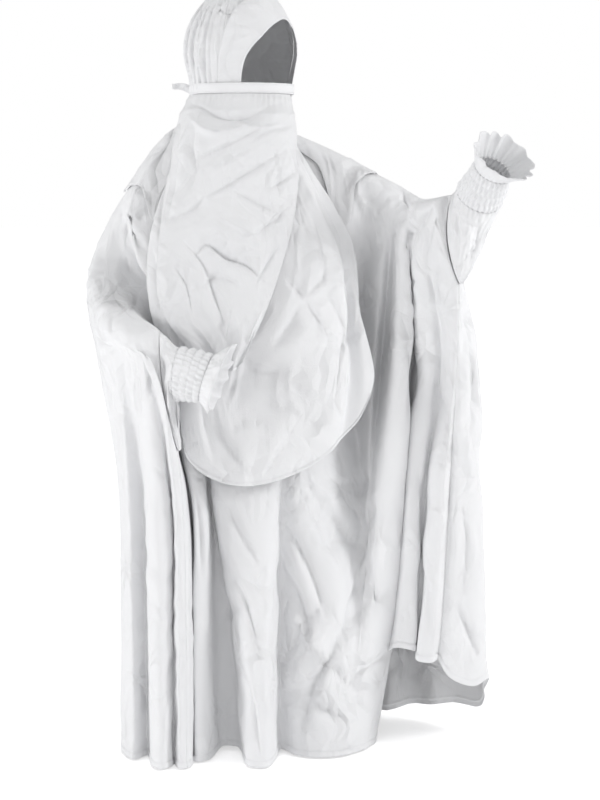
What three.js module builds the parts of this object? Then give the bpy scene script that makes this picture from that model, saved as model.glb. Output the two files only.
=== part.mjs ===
// A floor-length overhead khimar in white cloth: batwing robe, hood, round front bib,
// shoulder and back cape, tied face veil, and smocked cuffs that end in ruffles.
// Millimetres, +Z up, front toward -Y. Every piece is a closed wall of cloth.
import * as THREE from 'three';
import { mergeVertices } from 'three/addons/utils/BufferGeometryUtils.js';

// Driving sizes
const wall = 2; // cloth with its folded hems
const seamGap = 0.3; // between the pieces at a seam
const crownHeight = 1700; // floor to the top of the hood
const layerLift = 3.6; // outer face of a cape panel over the robe's outer face
const armRound = 42; // how far the cloth bends out over an arm
const bandTop = 1486; // upper edge of the veil's band
const bandBottom = 1463;
const bandRadius = 116.6; // outer face of the veil's band
const holdPoint = new THREE.Vector3(4, 0, crownHeight - wall); // inside of the crown, on the head

// Heights of the fixed sections of the robe
const levelHigh = 900;
const levelMid = 600;
const levelLow = 300;

// Turns rows of numbers under a line of column names into objects
function table(names, rows) {
  const keys = names.split(' ');
  return rows.map((row) => Object.fromEntries(keys.map((key, i) => [key, row[i]])));
}

function vec(x, y, z) {
  return new THREE.Vector3(x, y, z);
}

function curveThrough(points, closed = false) {
  return new THREE.CatmullRomCurve3(points, closed, 'centripetal');
}

function clamp01(t) {
  return Math.min(1, Math.max(0, t));
}

function lerp(a, b, t) {
  return a + (b - a) * t;
}

// Straight-line reading of a table column at a position of another column
function readColumn(rows, from, to, at) {
  let k = 0;
  while (k < rows.length - 2 && at > rows[k + 1][from]) k += 1;
  const t = clamp01((at - rows[k][from]) / (rows[k + 1][from] - rows[k][from]));
  return lerp(rows[k][to], rows[k + 1][to], t);
}

// ---------------------------------------------------------------- the robe's seam over the arms

// Points of the seam from the left wrist over both shoulders to the right wrist
const armPoints = table('x y z', [
  [-165, -278, 954],
  [-240, -190, 985],
  [-294, -70, 1054],
  [-286, -24, 1180],
  [-168, 5, 1370],
  [-90, 10, 1415],
]);
const armPointsRight = table('x y z', [
  [88, 10, 1388],
  [200, 5, 1340],
  [300, -15, 1290],
  [362, -35, 1258],
  [400, -72, 1234],
  [464, -152, 1243],
]);
const neckFront = table('x y z', [
  [-62, -48, 1392],
  [4, -80, 1374],
  [64, -50, 1376],
]);
const neckBack = table('x y z', [
  [-64, 68, 1412],
  [0, 90, 1408],
  [62, 66, 1398],
]);
const neckLeftAt = 5; // places on the seam line, in spans between its points
const neckRightAt = 9;
const armSeamEnd = 14;

// The line runs along the left arm, round one side of the neck and along the right arm
function seamLine(neck) {
  const toVec = (p) => vec(p.x, p.y, p.z);
  const left = armPoints.map(toVec);
  const right = armPointsRight.map(toVec);
  const stretches = [
    { from: 0, to: neckLeftAt, curve: curveThrough(left) },
    {
      from: neckLeftAt,
      to: neckRightAt,
      curve: curveThrough([left[neckLeftAt], ...neck.map(toVec), right[0]]),
    },
    { from: neckRightAt, to: armSeamEnd, curve: curveThrough(right) },
  ];
  const find = (t) => {
    const at = t * armSeamEnd;
    const stretch = stretches.find((one) => at <= one.to + 1e-9);
    return [stretch.curve, clamp01((at - stretch.from) / (stretch.to - stretch.from))];
  };
  return {
    getPoint: (t) => {
      const [curve, at] = find(t);
      return curve.getPoint(at);
    },
    getTangent: (t) => {
      const [curve, at] = find(t);
      return curve.getTangent(at);
    },
  };
}

const frontLine = seamLine(neckFront);
const backLine = seamLine(neckBack);

// ---------------------------------------------------------------- the robe's folds

// A row for each fold edge or trough of the front, left side seam to right side seam.
// seam is the place on the arm seam, the rest are the fold's plan at each height.
const frontFolds = table('seam xHigh yHigh xMid yMid xLow yLow xHem yHem zHem', [
  [0, -158, -279, -118, -290, -112, -288, -112, -286, 4],
  [0.3, -170, -234, -112, -258, -104, -266, -105, -264, 4],
  [1.0, -206, -160, -112, -165, -100, -172, -101, -172, 4],
  [2.2, -186, -112, -101, -218, -97, -234, -95, -238, 4],
  [3.2, -150, -112, -76, -212, -70, -224, -68, -220, 4],
  [4.0, -112, -124, -68, -158, -50, -146, -42, -136, 10],
  [4.6, -78, -134, -62, -160, -24, -142, -6, -138, 10],
  [5.4, -48, -140, -57, -188, -14, -206, 8, -212, 4],
  [6.2, -20, -145, -36, -210, 14, -260, 30, -280, 4],
  [7.0, 15, -148, 52, -213, 58, -262, 58, -282, 4],
  [7.6, 45, -149, 80, -194, 80, -212, 77, -226, 4],
  [8.3, 75, -147, 90, -164, 90, -156, 90, -152, 8],
  [9.1, 105, -143, 125, -178, 128, -190, 128, -190, 4],
  [9.7, 135, -135, 165, -170, 172, -202, 175, -206, 4],
  [10.2, 165, -120, 205, -132, 212, -196, 213, -200, 4],
  [10.6, 200, -85, 238, -85, 240, -176, 240, -184, 4],
  [11.0, 245, 10, 272, -45, 258, -158, 256, -168, 4],
  [11.7, 302, -58, 286, -86, 270, -158, 268, -154, 4],
  [12.2, 320, -30, 294, -92, 280, -158, 278, -142, 4],
  [12.6, 345, -140, 305, -152, 300, -156, 290, -118, 4],
  [13.0, 383, -132, 365, -135, 350, -112, 308, -62, 4],
  [13.15, 380, -62, 356, -40, 338, -28, 306, 10, 110],
  [13.3, 390, -120, 373, -135, 354, -142, 346, -142, 236],
  [13.5, 428, -142, 402, -142, 392, -150, 388, -150, 232],
  [13.62, 444, -136, 412, -118, 400, -124, 396, -122, 226],
  [13.75, 453, -166, 422, -168, 404, -172, 394, -170, 214],
  [13.9, 466, -188, 448, -184, 430, -184, 426, -180, 212],
  [14, 474, -190, 463, -174, 447, -172, 439, -168, 216],
]);

// The same for the back, right side seam round to the left side seam
const backFolds = table('seam xHigh yHigh xMid yMid xLow yLow xHem yHem zHem', [
  [14, 474, -190, 463, -174, 447, -172, 439, -168, 216],
  [13.8, 486, -188, 480, -180, 474, -180, 466, -178, 178],
  [13.6, 505, -176, 510, -172, 516, -170, 520, -166, 155],
  [13.4, 524, -152, 535, -146, 546, -142, 555, -138, 166],
  [13.1, 524, -95, 534, -84, 545, -88, 553, -84, 130],
  [12.8, 505, -20, 520, -12, 538, -10, 548, 2, 64],
  [12.4, 470, 40, 480, 60, 490, 66, 494, 72, 54],
  [12.0, 430, 52, 440, 72, 445, 80, 446, 84, 46],
  [11.4, 385, 88, 395, 132, 400, 146, 400, 150, 30],
  [10.8, 335, 76, 345, 110, 345, 118, 345, 120, 22],
  [10.2, 285, 104, 290, 165, 292, 188, 292, 192, 10],
  [9.6, 220, 98, 225, 132, 230, 146, 230, 150, 4],
  [8.6, 150, 124, 160, 190, 165, 216, 165, 222, 4],
  [7.8, 80, 124, 90, 154, 95, 172, 95, 178, 4],
  [7.0, 10, 134, 15, 196, 15, 226, 15, 232, 4],
  [6.2, -60, 124, -65, 158, -65, 178, -65, 184, 4],
  [5.2, -125, 120, -140, 182, -145, 206, -145, 212, 4],
  [4.3, -185, 92, -200, 128, -205, 144, -205, 148, 4],
  [3.5, -240, 64, -255, 106, -258, 120, -258, 122, 4],
  [2.8, -290, 6, -280, 26, -276, 30, -276, 32, 4],
  [2.3, -318, -58, -277, -40, -271, -48, -270, -60, 4],
  [1.9, -314, -118, -270, -105, -266, -140, -264, -156, 4],
  [1.6, -290, -170, -256, -158, -252, -190, -250, -198, 4],
  [1.3, -268, -206, -240, -206, -234, -218, -230, -220, 4],
  [1.05, -250, -226, -213, -186, -207, -188, -205, -186, 4],
  [0.85, -228, -258, -196, -262, -192, -272, -186, -278, 4],
  [0.65, -218, -280, -172, -290, -168, -295, -166, -296, 4],
  [0.5, -206, -292, -152, -284, -149, -282, -148, -276, 4],
  [0.35, -194, -300, -144, -262, -141, -256, -142, -252, 4],
  [0.2, -182, -310, -134, -297, -128, -292, -126, -292, 4],
  [0, -158, -279, -118, -290, -112, -288, -112, -286, 4],
]);

const slitClear = 1.2; // the robe's edge outside the sleeve's at the middle of a slit

// The armhole slits between the two side edges, from the arm seam down to the sleeve's point
const slits = {
  left: { tip: vec(-128, -290, 702), tipAt: 3.66, half: 21, across: vec(0.45, 0.89, 0) },
  right: { tip: vec(478, -198, 1052), tipAt: 2.5, half: 22, across: vec(-0.86, -0.5, 0) },
};

// A point of a slit's edge: side +1 is the front's edge, -1 the back's, h runs 0 to 1 down
function slitEdge(slit, top, side, h, clear = 0) {
  const centre = top.clone().lerp(slit.tip, h);
  const open = (slit.half + clear) * Math.sin(Math.PI * clamp01(h)) ** 0.8;
  return centre.addScaledVector(slit.across, side * open);
}

// The front's cloth stands out further where it crosses the crook of the bent arm
const crookFill = { from: 1.2, to: 3.34, most: 66 };

function standOut(fold, side) {
  if (side < 0) return 0;
  const t = (fold.seam - crookFill.from) / (crookFill.to - crookFill.from);
  return crookFill.most * Math.sin(Math.PI * clamp01(t));
}

// A fold's line from the arm seam to the hem: seam, two points round the arm, three levels, hem
function foldLine(fold, line, side) {
  const stand = standOut(fold, side);
  const at = fold.seam / armSeamEnd;
  const top = line.getPoint(at);
  const way = line.getTangent(at);
  const out = vec(way.y, -way.x, 0).normalize().multiplyScalar(side);
  const points = [
    top,
    top.clone().addScaledVector(out, armRound * 0.72 + stand * 0.4).add(vec(0, 0, -armRound * 0.3)),
    top.clone().addScaledVector(out, armRound + stand).add(vec(0, 0, -armRound)),
    vec(fold.xHigh, fold.yHigh, Math.min(levelHigh, top.z - armRound - 8)),
    vec(fold.xMid, fold.yMid, levelMid),
    vec(fold.xLow, fold.yLow, Math.max(levelLow, fold.zHem + 50)),
    vec(fold.xHem, fold.yHem, fold.zHem),
  ];
  return curveThrough(points);
}

// A side edge: down the armhole slit, then down the side seam
function sideLine(fold, slit, side) {
  const top = (side > 0 ? frontLine : backLine).getPoint(fold.seam / armSeamEnd);
  const below = curveThrough([
    top.clone().lerp(slit.tip, 0.5),
    slit.tip,
    vec(fold.xMid, fold.yMid, Math.min(levelMid, slit.tip.z - 60)),
    vec(fold.xLow, fold.yLow, Math.max(levelLow, fold.zHem + 50)),
    vec(fold.xHem, fold.yHem, fold.zHem),
  ]);
  return {
    getPoint(v) {
      const at = v * 6;
      if (at <= slit.tipAt) return slitEdge(slit, top, side, at / slit.tipAt, slitClear);
      const stops = [slit.tipAt, 4, 5, 6];
      let k = 0;
      while (k < 2 && at > stops[k + 1]) k += 1;
      const t = (k + 1 + (at - stops[k]) / (stops[k + 1] - stops[k])) / 4;
      return below.getPoint(clamp01(t));
    },
  };
}

function foldLines(folds, line, side) {
  return folds.map((fold) => {
    if (fold.seam === 0) return sideLine(fold, slits.left, side);
    if (fold.seam === armSeamEnd) return sideLine(fold, slits.right, side);
    return foldLine(fold, line, side);
  });
}

const frontLines = foldLines(frontFolds, frontLine, 1);
const backLines = foldLines(backFolds, backLine, -1);

// Point between the folds: k counts folds, v runs 0 at the arm seam to 1 at the hem.
// The rows beyond each end are the other panel's, so both panels share one roundness.
function acrossFolds(lines, others, k, v) {
  const first = Math.min(lines.length - 2, Math.max(0, Math.floor(k)));
  const pick = (i) => {
    if (i < 0) return others[others.length - 2].getPoint(v);
    if (i >= lines.length) return others[1].getPoint(v);
    return lines[i].getPoint(v);
  };
  const near = curveThrough([pick(first - 1), pick(first), pick(first + 1), pick(first + 2)]);
  return near.getPoint((1 + k - first) / 3);
}

// Place on the arm seam of a position among the folds
function seamPlace(folds, k) {
  const first = Math.min(folds.length - 2, Math.max(0, Math.floor(k)));
  return lerp(folds[first].seam, folds[first + 1].seam, clamp01(k - first)) / armSeamEnd;
}

// Draws the cloth's top onto the arm seam, fading out below the arm
function onSeam(folds, lines, others, line, k, v) {
  const point = acrossFolds(lines, others, k, v);
  const fade = clamp01(1 - (v * 6) / 2.4);
  if (fade === 0 || k < 0 || k > lines.length - 1) return point;
  const miss = line.getPoint(seamPlace(folds, k)).sub(acrossFolds(lines, others, k, 0));
  return point.addScaledVector(miss, fade);
}

function frontAt(k, v) {
  return onSeam(frontFolds, frontLines, backLines, frontLine, k, v);
}

function backAt(k, v) {
  return onSeam(backFolds, backLines, frontLines, backLine, k, v);
}

// Outward direction of a surface given as a function of two places
function outward(at, k, v, step = 0.02, end = 1) {
  const du = at(k + step, v).sub(at(k - step, v));
  const dv = at(k, Math.min(end, v + step / 4)).sub(at(k, Math.max(0, v - step / 4)));
  return dv.cross(du).normalize();
}

// ---------------------------------------------------------------- closed walls of cloth

// Joins a grid of outer points and a grid of inner points into one closed wall.
// wrap closes the grid on itself in its first direction.
function closedWall(outer, inner, wrap) {
  const columns = outer.length;
  const rows = outer[0].length;
  const points = [...outer.flat(), ...inner.flat()];
  const faces = [];
  const id = (side, i, j) => side * columns * rows + (i % columns) * rows + j;
  const quad = (a, b, c, d) => faces.push(a, b, c, a, c, d);
  const spans = wrap ? columns : columns - 1;
  for (let i = 0; i < spans; i += 1) {
    for (let j = 0; j < rows - 1; j += 1) {
      quad(id(0, i, j), id(0, i, j + 1), id(0, i + 1, j + 1), id(0, i + 1, j));
      quad(id(1, i, j), id(1, i + 1, j), id(1, i + 1, j + 1), id(1, i, j + 1));
    }
    quad(id(0, i, 0), id(0, i + 1, 0), id(1, i + 1, 0), id(1, i, 0));
    quad(id(0, i + 1, rows - 1), id(0, i, rows - 1), id(1, i, rows - 1), id(1, i + 1, rows - 1));
  }
  if (!wrap) {
    for (let j = 0; j < rows - 1; j += 1) {
      quad(id(0, 0, j + 1), id(0, 0, j), id(1, 0, j), id(1, 0, j + 1));
      const last = columns - 1;
      quad(id(0, last, j), id(0, last, j + 1), id(1, last, j + 1), id(1, last, j));
    }
  }
  return { points, faces };
}

// Merges points that meet, as at a crown's pole, and drops the faces that vanish
function solidGeometry({ points, faces }) {
  const geometry = new THREE.BufferGeometry();
  const flat = points.flatMap((p) => p.clone().sub(holdPoint).toArray());
  geometry.setAttribute('position', new THREE.Float32BufferAttribute(flat, 3));
  geometry.setIndex(faces);
  const merged = mergeVertices(geometry, 1e-3);
  const index = merged.getIndex().array;
  const kept = [];
  for (let f = 0; f < index.length; f += 3) {
    const [a, b, c] = [index[f], index[f + 1], index[f + 2]];
    if (a !== b && b !== c && c !== a) kept.push(a, b, c);
  }
  merged.setIndex(kept);
  merged.computeVertexNormals();
  return merged;
}

// Wall from outer points and their outward directions
function wallFrom(outer, normals, wrap = false, thick = wall) {
  const inner = outer.map((line, i) =>
    line.map((p, j) => p.clone().addScaledVector(normals[i][j], -thick)));
  return closedWall(outer, inner, wrap);
}

// Outward directions of a grid from its own neighbours
function gridNormals(grid, wrap = false, flip = 1) {
  const columns = grid.length;
  const rows = grid[0].length;
  return grid.map((line, i) => line.map((p, j) => {
    const next = wrap ? (i + 1) % columns : Math.min(columns - 1, i + 1);
    const before = wrap ? (i + columns - 1) % columns : Math.max(0, i - 1);
    const du = grid[next][j].clone().sub(grid[before][j]);
    const dv = grid[i][Math.min(rows - 1, j + 1)].clone().sub(grid[i][Math.max(0, j - 1)]);
    return dv.cross(du).normalize().multiplyScalar(flip);
  }));
}

function steps(count, from = 0, to = 1) {
  return Array.from({ length: count + 1 }, (_, i) => lerp(from, to, i / count));
}

const materials = {};

function cloth(name, color, roughness) {
  if (!materials[name]) materials[name] = { color, roughness };
  return new THREE.MeshStandardMaterial({ name, color, roughness, metalness: 0 });
}

const poplin = () => cloth('white_poplin', 0xf0f0f2, 0.72);
const lightPoplin = () => cloth('white_poplin_light', 0xf4f4f6, 0.74);

const group = new THREE.Group();
group.name = 'khimar';

function add(name, shape, material) {
  const mesh = new THREE.Mesh(solidGeometry(shape), material);
  mesh.name = name;
  group.add(mesh);
  return mesh;
}

// ---------------------------------------------------------------- robe front and back

// Places down the folds, in spans of the fold line: denser where the cloth bends over the arm
const robeDown = [0, 0.4, 0.8, 1.25, 1.75, 2.2, 2.6, 3, 3.4, 3.8, 4.2, 4.6, 5, 5.4, 5.75, 6];

// Moves a grid's edge lines toward the inside, to leave half a seam's gap
function drawIn(grid, gap, ends = true) {
  const toward = (p, q) => p.lerp(q, gap / Math.max(1, p.distanceTo(q)));
  const last = grid.length - 1;
  if (ends) {
    grid[0].forEach((p, j) => toward(p, grid[1][j]));
    grid[last].forEach((p, j) => toward(p, grid[last - 1][j]));
  }
  grid.forEach((line) => toward(line[0], line[1]));
}

function robePanel(name, at, lines) {
  const across = steps((lines.length - 1) * 2, 0, lines.length - 1);
  const grid = across.map((k) => robeDown.map((s) => at(k, s / 6)));
  const normals = across.map((k) => robeDown.map((s, j) =>
    (j === 0 ? vec(0, 0, 1) : outward(at, k, s / 6))));
  drawIn(grid, 0.4);
  add(name, wallFrom(grid, normals), poplin());
}

robePanel('robe_front', frontAt, frontLines);
robePanel('robe_back', backAt, backLines);

// ---------------------------------------------------------------- shoulder panels and cape

// Place among the folds of a place on the arm seam
function foldPlace(folds, seam) {
  const rows = folds.map((fold, k) => ({ seam: fold.seam, k }));
  const ordered = rows[0].seam < rows[rows.length - 1].seam ? rows : rows.reverse();
  return readColumn(ordered, 'seam', 'k', seam);
}

// A panel's outer face: the robe's own points moved out by the lift
function lifted(at, k, v, lift) {
  const normal = v < 0.01 ? vec(0, 0, 1) : outward(at, k, v, 0.5);
  return { point: at(k, v).addScaledVector(normal, lift), normal };
}

// Shoulder panels, from the neck and the arm seam down to the tack at the bib's armhole.
// inner is the edge sewn to the bib, outer the free edge; reach is in fold spans down.
// bow keeps an edge near its top before it turns toward its foot.
const shoulderPanels = {
  left: {
    inner: { seam: 5.35, foot: 4.05, reach: 2.55, bow: 1.6 },
    outer: { seam: 3.35, foot: 3.62, reach: 2.3, bow: 1 },
  },
  right: {
    inner: { seam: 8.65, foot: 10.42, reach: 2.42, bow: 1.12 },
    outer: { seam: 11.05, foot: 10.62, reach: 2.3, bow: 1 },
  },
};

function shoulderPanel(name, panel) {
  const edgeAt = (edge, w) => ({
    seam: lerp(edge.seam, edge.foot, w ** edge.bow),
    v: (edge.reach * w) / 6,
  });
  const grid = [];
  const normals = [];
  for (const u of steps(8)) {
    const column = steps(8).map((w) => {
      const a = edgeAt(panel.inner, w);
      const b = edgeAt(panel.outer, w);
      const k = foldPlace(frontFolds, lerp(a.seam, b.seam, u));
      return lifted(frontAt, k, lerp(a.v, b.v, u), layerLift);
    });
    grid.push(column.map((c) => c.point));
    normals.push(column.map((c) => c.normal));
  }
  if (panel.inner.seam > panel.outer.seam) {
    grid.reverse();
    normals.reverse();
  }
  drawIn(grid, 0.4, false);
  add(name, wallFrom(grid, normals), poplin());
}

shoulderPanel('shoulder_panel_left', shoulderPanels.left);
shoulderPanel('shoulder_panel_right', shoulderPanels.right);

// The cape down the back, between the shoulder panels' free edges; its hem is a round arc
const capeRight = 11.05;
const capeLeft = 3.35;
const capeSide = 0.7; // reach at the arms, in fold spans down
const capeMiddle = 3.75; // reach at the centre of the back

function capeReach(u) {
  return lerp(capeSide, capeMiddle, Math.sin(Math.PI * clamp01(u)) ** 0.55);
}

const capeFrom = foldPlace(backFolds, capeRight);
const capeTo = foldPlace(backFolds, capeLeft);
const capeColumns = [
  capeFrom,
  ...steps(60, 0, 30).filter((k) => k > capeFrom + 0.2 && k < capeTo - 0.2),
  capeTo,
];
const capeGrid = [];
const capeNormals = [];
for (const k of capeColumns) {
  const u = (k - capeFrom) / (capeTo - capeFrom);
  const column = steps(8).map((w) =>
    lifted(backAt, k, (capeReach(u) * w ** 1.15) / 6, layerLift + 6 * w));
  capeGrid.push(column.map((c) => c.point));
  capeNormals.push(column.map((c) => c.normal));
}
drawIn(capeGrid, 0.4, false);
add('cape_back', wallFrom(capeGrid, capeNormals), poplin());

// ---------------------------------------------------------------- bib

// A row for each fold of the bib, left edge to right edge: its place on the neck line, its
// plan at three heights, and its end on the round hem
const bibFolds = table('seam xNeck yNeck xChest yChest xWaist yWaist xBelly yBelly xEnd yEnd zEnd', [
  [5.45, -150, -84, -196, -138, -196, -152, -146, -184, -118, -216, 700],
  [5.7, -128, -104, -168, -150, -168, -172, -128, -202, -106, -224, 668],
  [6.1, -88, -124, -110, -166, -112, -186, -92, -212, -73, -232, 640],
  [6.5, -40, -134, -52, -170, -54, -188, -44, -210, -30, -240, 622],
  [7.0, 12, -137, 10, -172, 8, -186, 4, -206, 6, -244, 617],
  [7.3, 48, -134, 58, -170, 60, -184, 50, -210, 42, -238, 618],
  [7.6, 78, -128, 100, -168, 108, -186, 108, -216, 92, -238, 630],
  [7.95, 104, -118, 150, -162, 162, -186, 172, -210, 152, -228, 655],
  [8.2, 130, -104, 212, -150, 238, -168, 234, -186, 206, -214, 693],
  [8.35, 136, -92, 216, -118, 240, -132, 242, -148, 228, -190, 716],
  [8.5, 146, -84, 234, -98, 256, -134, 274, -156, 262, -178, 752],
  [8.62, 152, -76, 250, -92, 264, -130, 297, -150, 288, -164, 802],
]);

const bibLines = bibFolds.map((fold) => {
  const top = frontLine.getPoint(fold.seam / armSeamEnd).add(vec(0, 0, layerLift));
  const way = frontLine.getTangent(fold.seam / armSeamEnd);
  const out = vec(way.y, -way.x, 0).normalize();
  return curveThrough([
    top,
    top.clone().addScaledVector(out, armRound * 0.74 + 5).add(vec(0, 0, 3 - armRound * 0.3)),
    top.clone().addScaledVector(out, armRound + 9).add(vec(0, 0, 2 - armRound)),
    vec(fold.xNeck, fold.yNeck, 1310),
    vec(fold.xChest, fold.yChest, 1136),
    vec(fold.xWaist, fold.yWaist, 1000),
    vec(fold.xBelly, fold.yBelly, 850),
    vec(fold.xEnd, fold.yEnd, fold.zEnd),
  ]);
});

function acrossLines(lines, k, v) {
  return curveThrough(lines.map((line) => line.getPoint(v))).getPoint(k / (lines.length - 1));
}

// A panel hung from its fold lines: outer points with directions from the grid itself
function hungPanel(lines, across, down, name, material) {
  const places = steps(across, 0, lines.length - 1);
  const grid = places.map((k) => steps(down).map((v) => acrossLines(lines, k, v)));
  add(name, wallFrom(grid, gridNormals(grid)), material);
}

hungPanel(bibLines, 22, 12, 'bib', poplin());

// ---------------------------------------------------------------- veil and its band

const azimuth = (degrees, radius, z) => vec(
  4 + radius * Math.cos(THREE.MathUtils.degToRad(degrees)),
  radius * Math.sin(THREE.MathUtils.degToRad(degrees)),
  z,
);

// A row for each fold of the veil: its place on the band, its plan at five heights, its end
const veilFolds = table(
  'angle xChin yChin xNeck yNeck xHigh yHigh xChest yChest xWaist yWaist xEnd yEnd zEnd',
  [
    [-178, -138, -52, -151, -104, -165, -144, -176, -170, -168, -188, -90, -232, 893],
    [-146, -114, -104, -124, -140, -137, -164, -148, -184, -142, -204, -72, -240, 880],
    [-122, -77, -136, -86, -157, -96, -177, -106, -194, -102, -213, -56, -232, 872],
    [-101, -30, -152, -36, -170, -43, -186, -53, -201, -57, -217, -38, -244, 868],
    [-78, 24, -158, 18, -177, 10, -190, 0, -205, -13, -219, -24, -234, 866],
    [-58, 68, -156, 62, -172, 50, -187, 38, -204, 22, -218, -10, -244, 868],
    [-40, 102, -128, 100, -156, 88, -182, 69, -200, 43, -214, 0, -232, 872],
    [-22, 125, -92, 131, -130, 122, -168, 97, -192, 63, -209, 8, -238, 880],
  ],
);

const veilLines = veilFolds.map((fold) => curveThrough([
  azimuth(fold.angle, bandRadius, bandBottom - seamGap),
  vec(fold.xChin, fold.yChin, 1400),
  vec(fold.xNeck, fold.yNeck, 1300),
  vec(fold.xHigh, fold.yHigh, 1200),
  vec(fold.xChest, fold.yChest, 1100),
  vec(fold.xWaist, fold.yWaist, 1000),
  vec(fold.xEnd, fold.yEnd, fold.zEnd),
]));
hungPanel(veilLines, 16, 12, 'veil', lightPoplin());

const bandAngles = steps(40, 0, 360).slice(0, 40);
const bandGrid = bandAngles.map((a) => [bandTop, 1474, bandBottom].map((z) =>
  azimuth(a, bandRadius, z)));
const bandNormals = bandAngles.map((a) => [0, 1, 2].map(() =>
  azimuth(a, 1, 0).sub(vec(4, 0, 0))));
add('veil_band', wallFrom(bandGrid, bandNormals, true), lightPoplin());

// The band's knot, close outside the band at the wearer's right rear, and its two ends
const knotAngle = 150;
const knotHalf = { out: 9, along: 14, up: 12 };
const knotRadius = bandRadius + seamGap + knotHalf.out;

function knot() {
  const columns = steps(12).slice(0, 12);
  const outer = columns.map((t) => steps(6).map((w) => {
    const turn = t * Math.PI * 2;
    const rise = Math.PI * w;
    return vec(
      knotHalf.out * Math.cos(turn) * Math.sin(rise),
      knotHalf.along * Math.sin(turn) * Math.sin(rise),
      knotHalf.up * Math.cos(rise),
    );
  }));
  const place = (p) => p.applyAxisAngle(vec(0, 0, 1), THREE.MathUtils.degToRad(knotAngle))
    .add(azimuth(knotAngle, knotRadius, (bandTop + bandBottom) / 2));
  return outer.map((line) => line.map(place));
}

// A strip of doubled band along a path, with its breadth at each end
function strip(name, path, breadth, endBreadth, across) {
  const line = curveThrough(path.map((p) => vec(...p)));
  const grid = steps(1).map((u) => steps(6).map((w) => {
    const half = lerp(breadth, endBreadth, w) / 2;
    return line.getPoint(w).addScaledVector(across, lerp(-half, half, u));
  }));
  add(name, wallFrom(grid, gridNormals(grid)), lightPoplin());
}

function solidKnot() {
  const outer = knot();
  const columns = outer.length;
  const rows = outer[0].length;
  const faces = [];
  for (let i = 0; i < columns; i += 1) {
    for (let j = 0; j < rows - 1; j += 1) {
      const a = i * rows + j;
      const b = ((i + 1) % columns) * rows + j;
      faces.push(a, a + 1, b + 1, a, b + 1, b);
    }
  }
  return { points: outer.flat(), faces };
}

add('veil_knot', solidKnot(), lightPoplin());
strip('veil_tie_short', [[-113.4, 67.8, 1476], [-134, 74, 1484], [-156, 76, 1484]],
  20, 12, vec(0, 0.2, 0.98));
strip('veil_tie_long', [[-106, 64, 1461.9], [-115, 82, 1430], [-120, 98, 1392], [-124, 108, 1352]],
  16, 20, vec(0.85, 0.52, 0));

// ---------------------------------------------------------------- hood

// The closed neck line that the hood stands on
const neckLoop = curveThrough([
  vec(-90, 10, 1415),
  ...neckFront.map((p) => vec(p.x, p.y, p.z)),
  vec(88, 10, 1388),
  ...[...neckBack].reverse().map((p) => vec(p.x, p.y, p.z)),
], true);
const neckSamples = steps(240).map((t) => neckLoop.getPoint(t)).map((p) => ({
  angle: (THREE.MathUtils.radToDeg(Math.atan2(p.y, p.x - 4)) + 360) % 360,
  radius: Math.hypot(p.x - 4, p.y),
  z: p.z,
})).sort((a, b) => a.angle - b.angle);

// Hood radius by height above the neck, crown last
const hoodSections = table('z radius', [
  [1440, 104],
  [1463, 108.5],
  [1486, 112.4],
  [1520, 119],
  [1550, 124],
  [1578, 123],
  [1605, 117],
  [1630, 106],
  [1652, 93],
  [1672, 78],
  [1686, 58],
  [1695, 35],
  [1700, 0],
]);
const gatherFrom = 180; // the side gathers behind the forehead band
const gatherTo = 238;
const gatherDepth = 3.2;

function neckHeight(degrees) {
  return readColumn(neckSamples, 'angle', 'z', (degrees + 720) % 360) + layerLift;
}

function hoodRadius(degrees, z) {
  const angle = (degrees + 720) % 360;
  const neckRadius = readColumn(neckSamples, 'angle', 'radius', angle) + 3;
  const neckZ = neckHeight(angle);
  let radius = readColumn(hoodSections, 'z', 'radius', z);
  if (z < 1486) {
    const t = clamp01((z - neckZ) / (1486 - neckZ));
    radius = lerp(neckRadius, 112.4, t * (2 - t));
  }
  const inGathers = clamp01((angle - gatherFrom) / 12) * clamp01((gatherTo - angle) / 12);
  const height = clamp01((z - 1492) / 40) * clamp01((1700 - z) / 70);
  const wave = Math.cos(((angle - gatherFrom) / 7.25) * Math.PI);
  return radius + gatherDepth * inGathers * height * wave;
}

function hoodPoint(degrees, z) {
  return azimuth(degrees, hoodRadius(degrees, z), z);
}

// Round the face: inner edge is the opening, outer edge is the seam to the crown.
// A height of 0 stands for the neck line.
const faceBand = table('inner zInner outer zOuter', [
  [-89, 1462, -117, 1440],
  [-89, 1490, -116, 1480],
  [-87, 1520, -114.5, 1520],
  [-83, 1545, -112, 1550],
  [-76, 1566, -109, 1580],
  [-67, 1585, -104, 1618],
  [-56, 1605, -93, 1655],
  [-44, 1618, -66, 1681],
  [-30, 1626, -30, 1684],
  [-17, 1622, 0, 1660],
  [-7, 1602, 14, 1620],
  [-2, 1572, 19, 1580],
  [0, 1540, 22, 1550],
  [1, 1512, 24, 1520],
  [2, 1486, 25.5, 1480],
  [0, 1460, 26, 1440],
  [-8, 1446, 24, 0],
  [-24, 1438, -12, 0],
  [-45, 1436, -45, 0],
  [-66, 1440, -80, 0],
  [-82, 1449, -114, 0],
]);

const faceGrid = faceBand.map((row) => {
  const bottom = row.zOuter || neckHeight(row.outer);
  return steps(3, 0.03, 1).map((w) =>
    hoodPoint(lerp(row.outer, row.inner, w), lerp(bottom, row.zInner, w)));
});
add('hood_face_band', wallFrom(faceGrid, gridNormals(faceGrid, true), true), lightPoplin());

// The crown: from the band's seam round the back and over the top
const crownEdge = table('angle z', [
  [-117.8, 0],
  [-117.3, 1440],
  [-116.3, 1480],
  [-114.8, 1520],
  [-112.3, 1550],
  [-109.2, 1580],
  [-104, 1618],
  [-93, 1655],
  [-66, 1681],
  [-30, 1684],
  [0, 1660],
  [14, 1620],
  [19.2, 1580],
  [22.3, 1550],
  [24.3, 1520],
  [25.8, 1480],
  [26.3, 1440],
  [26.8, 0],
]);

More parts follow.
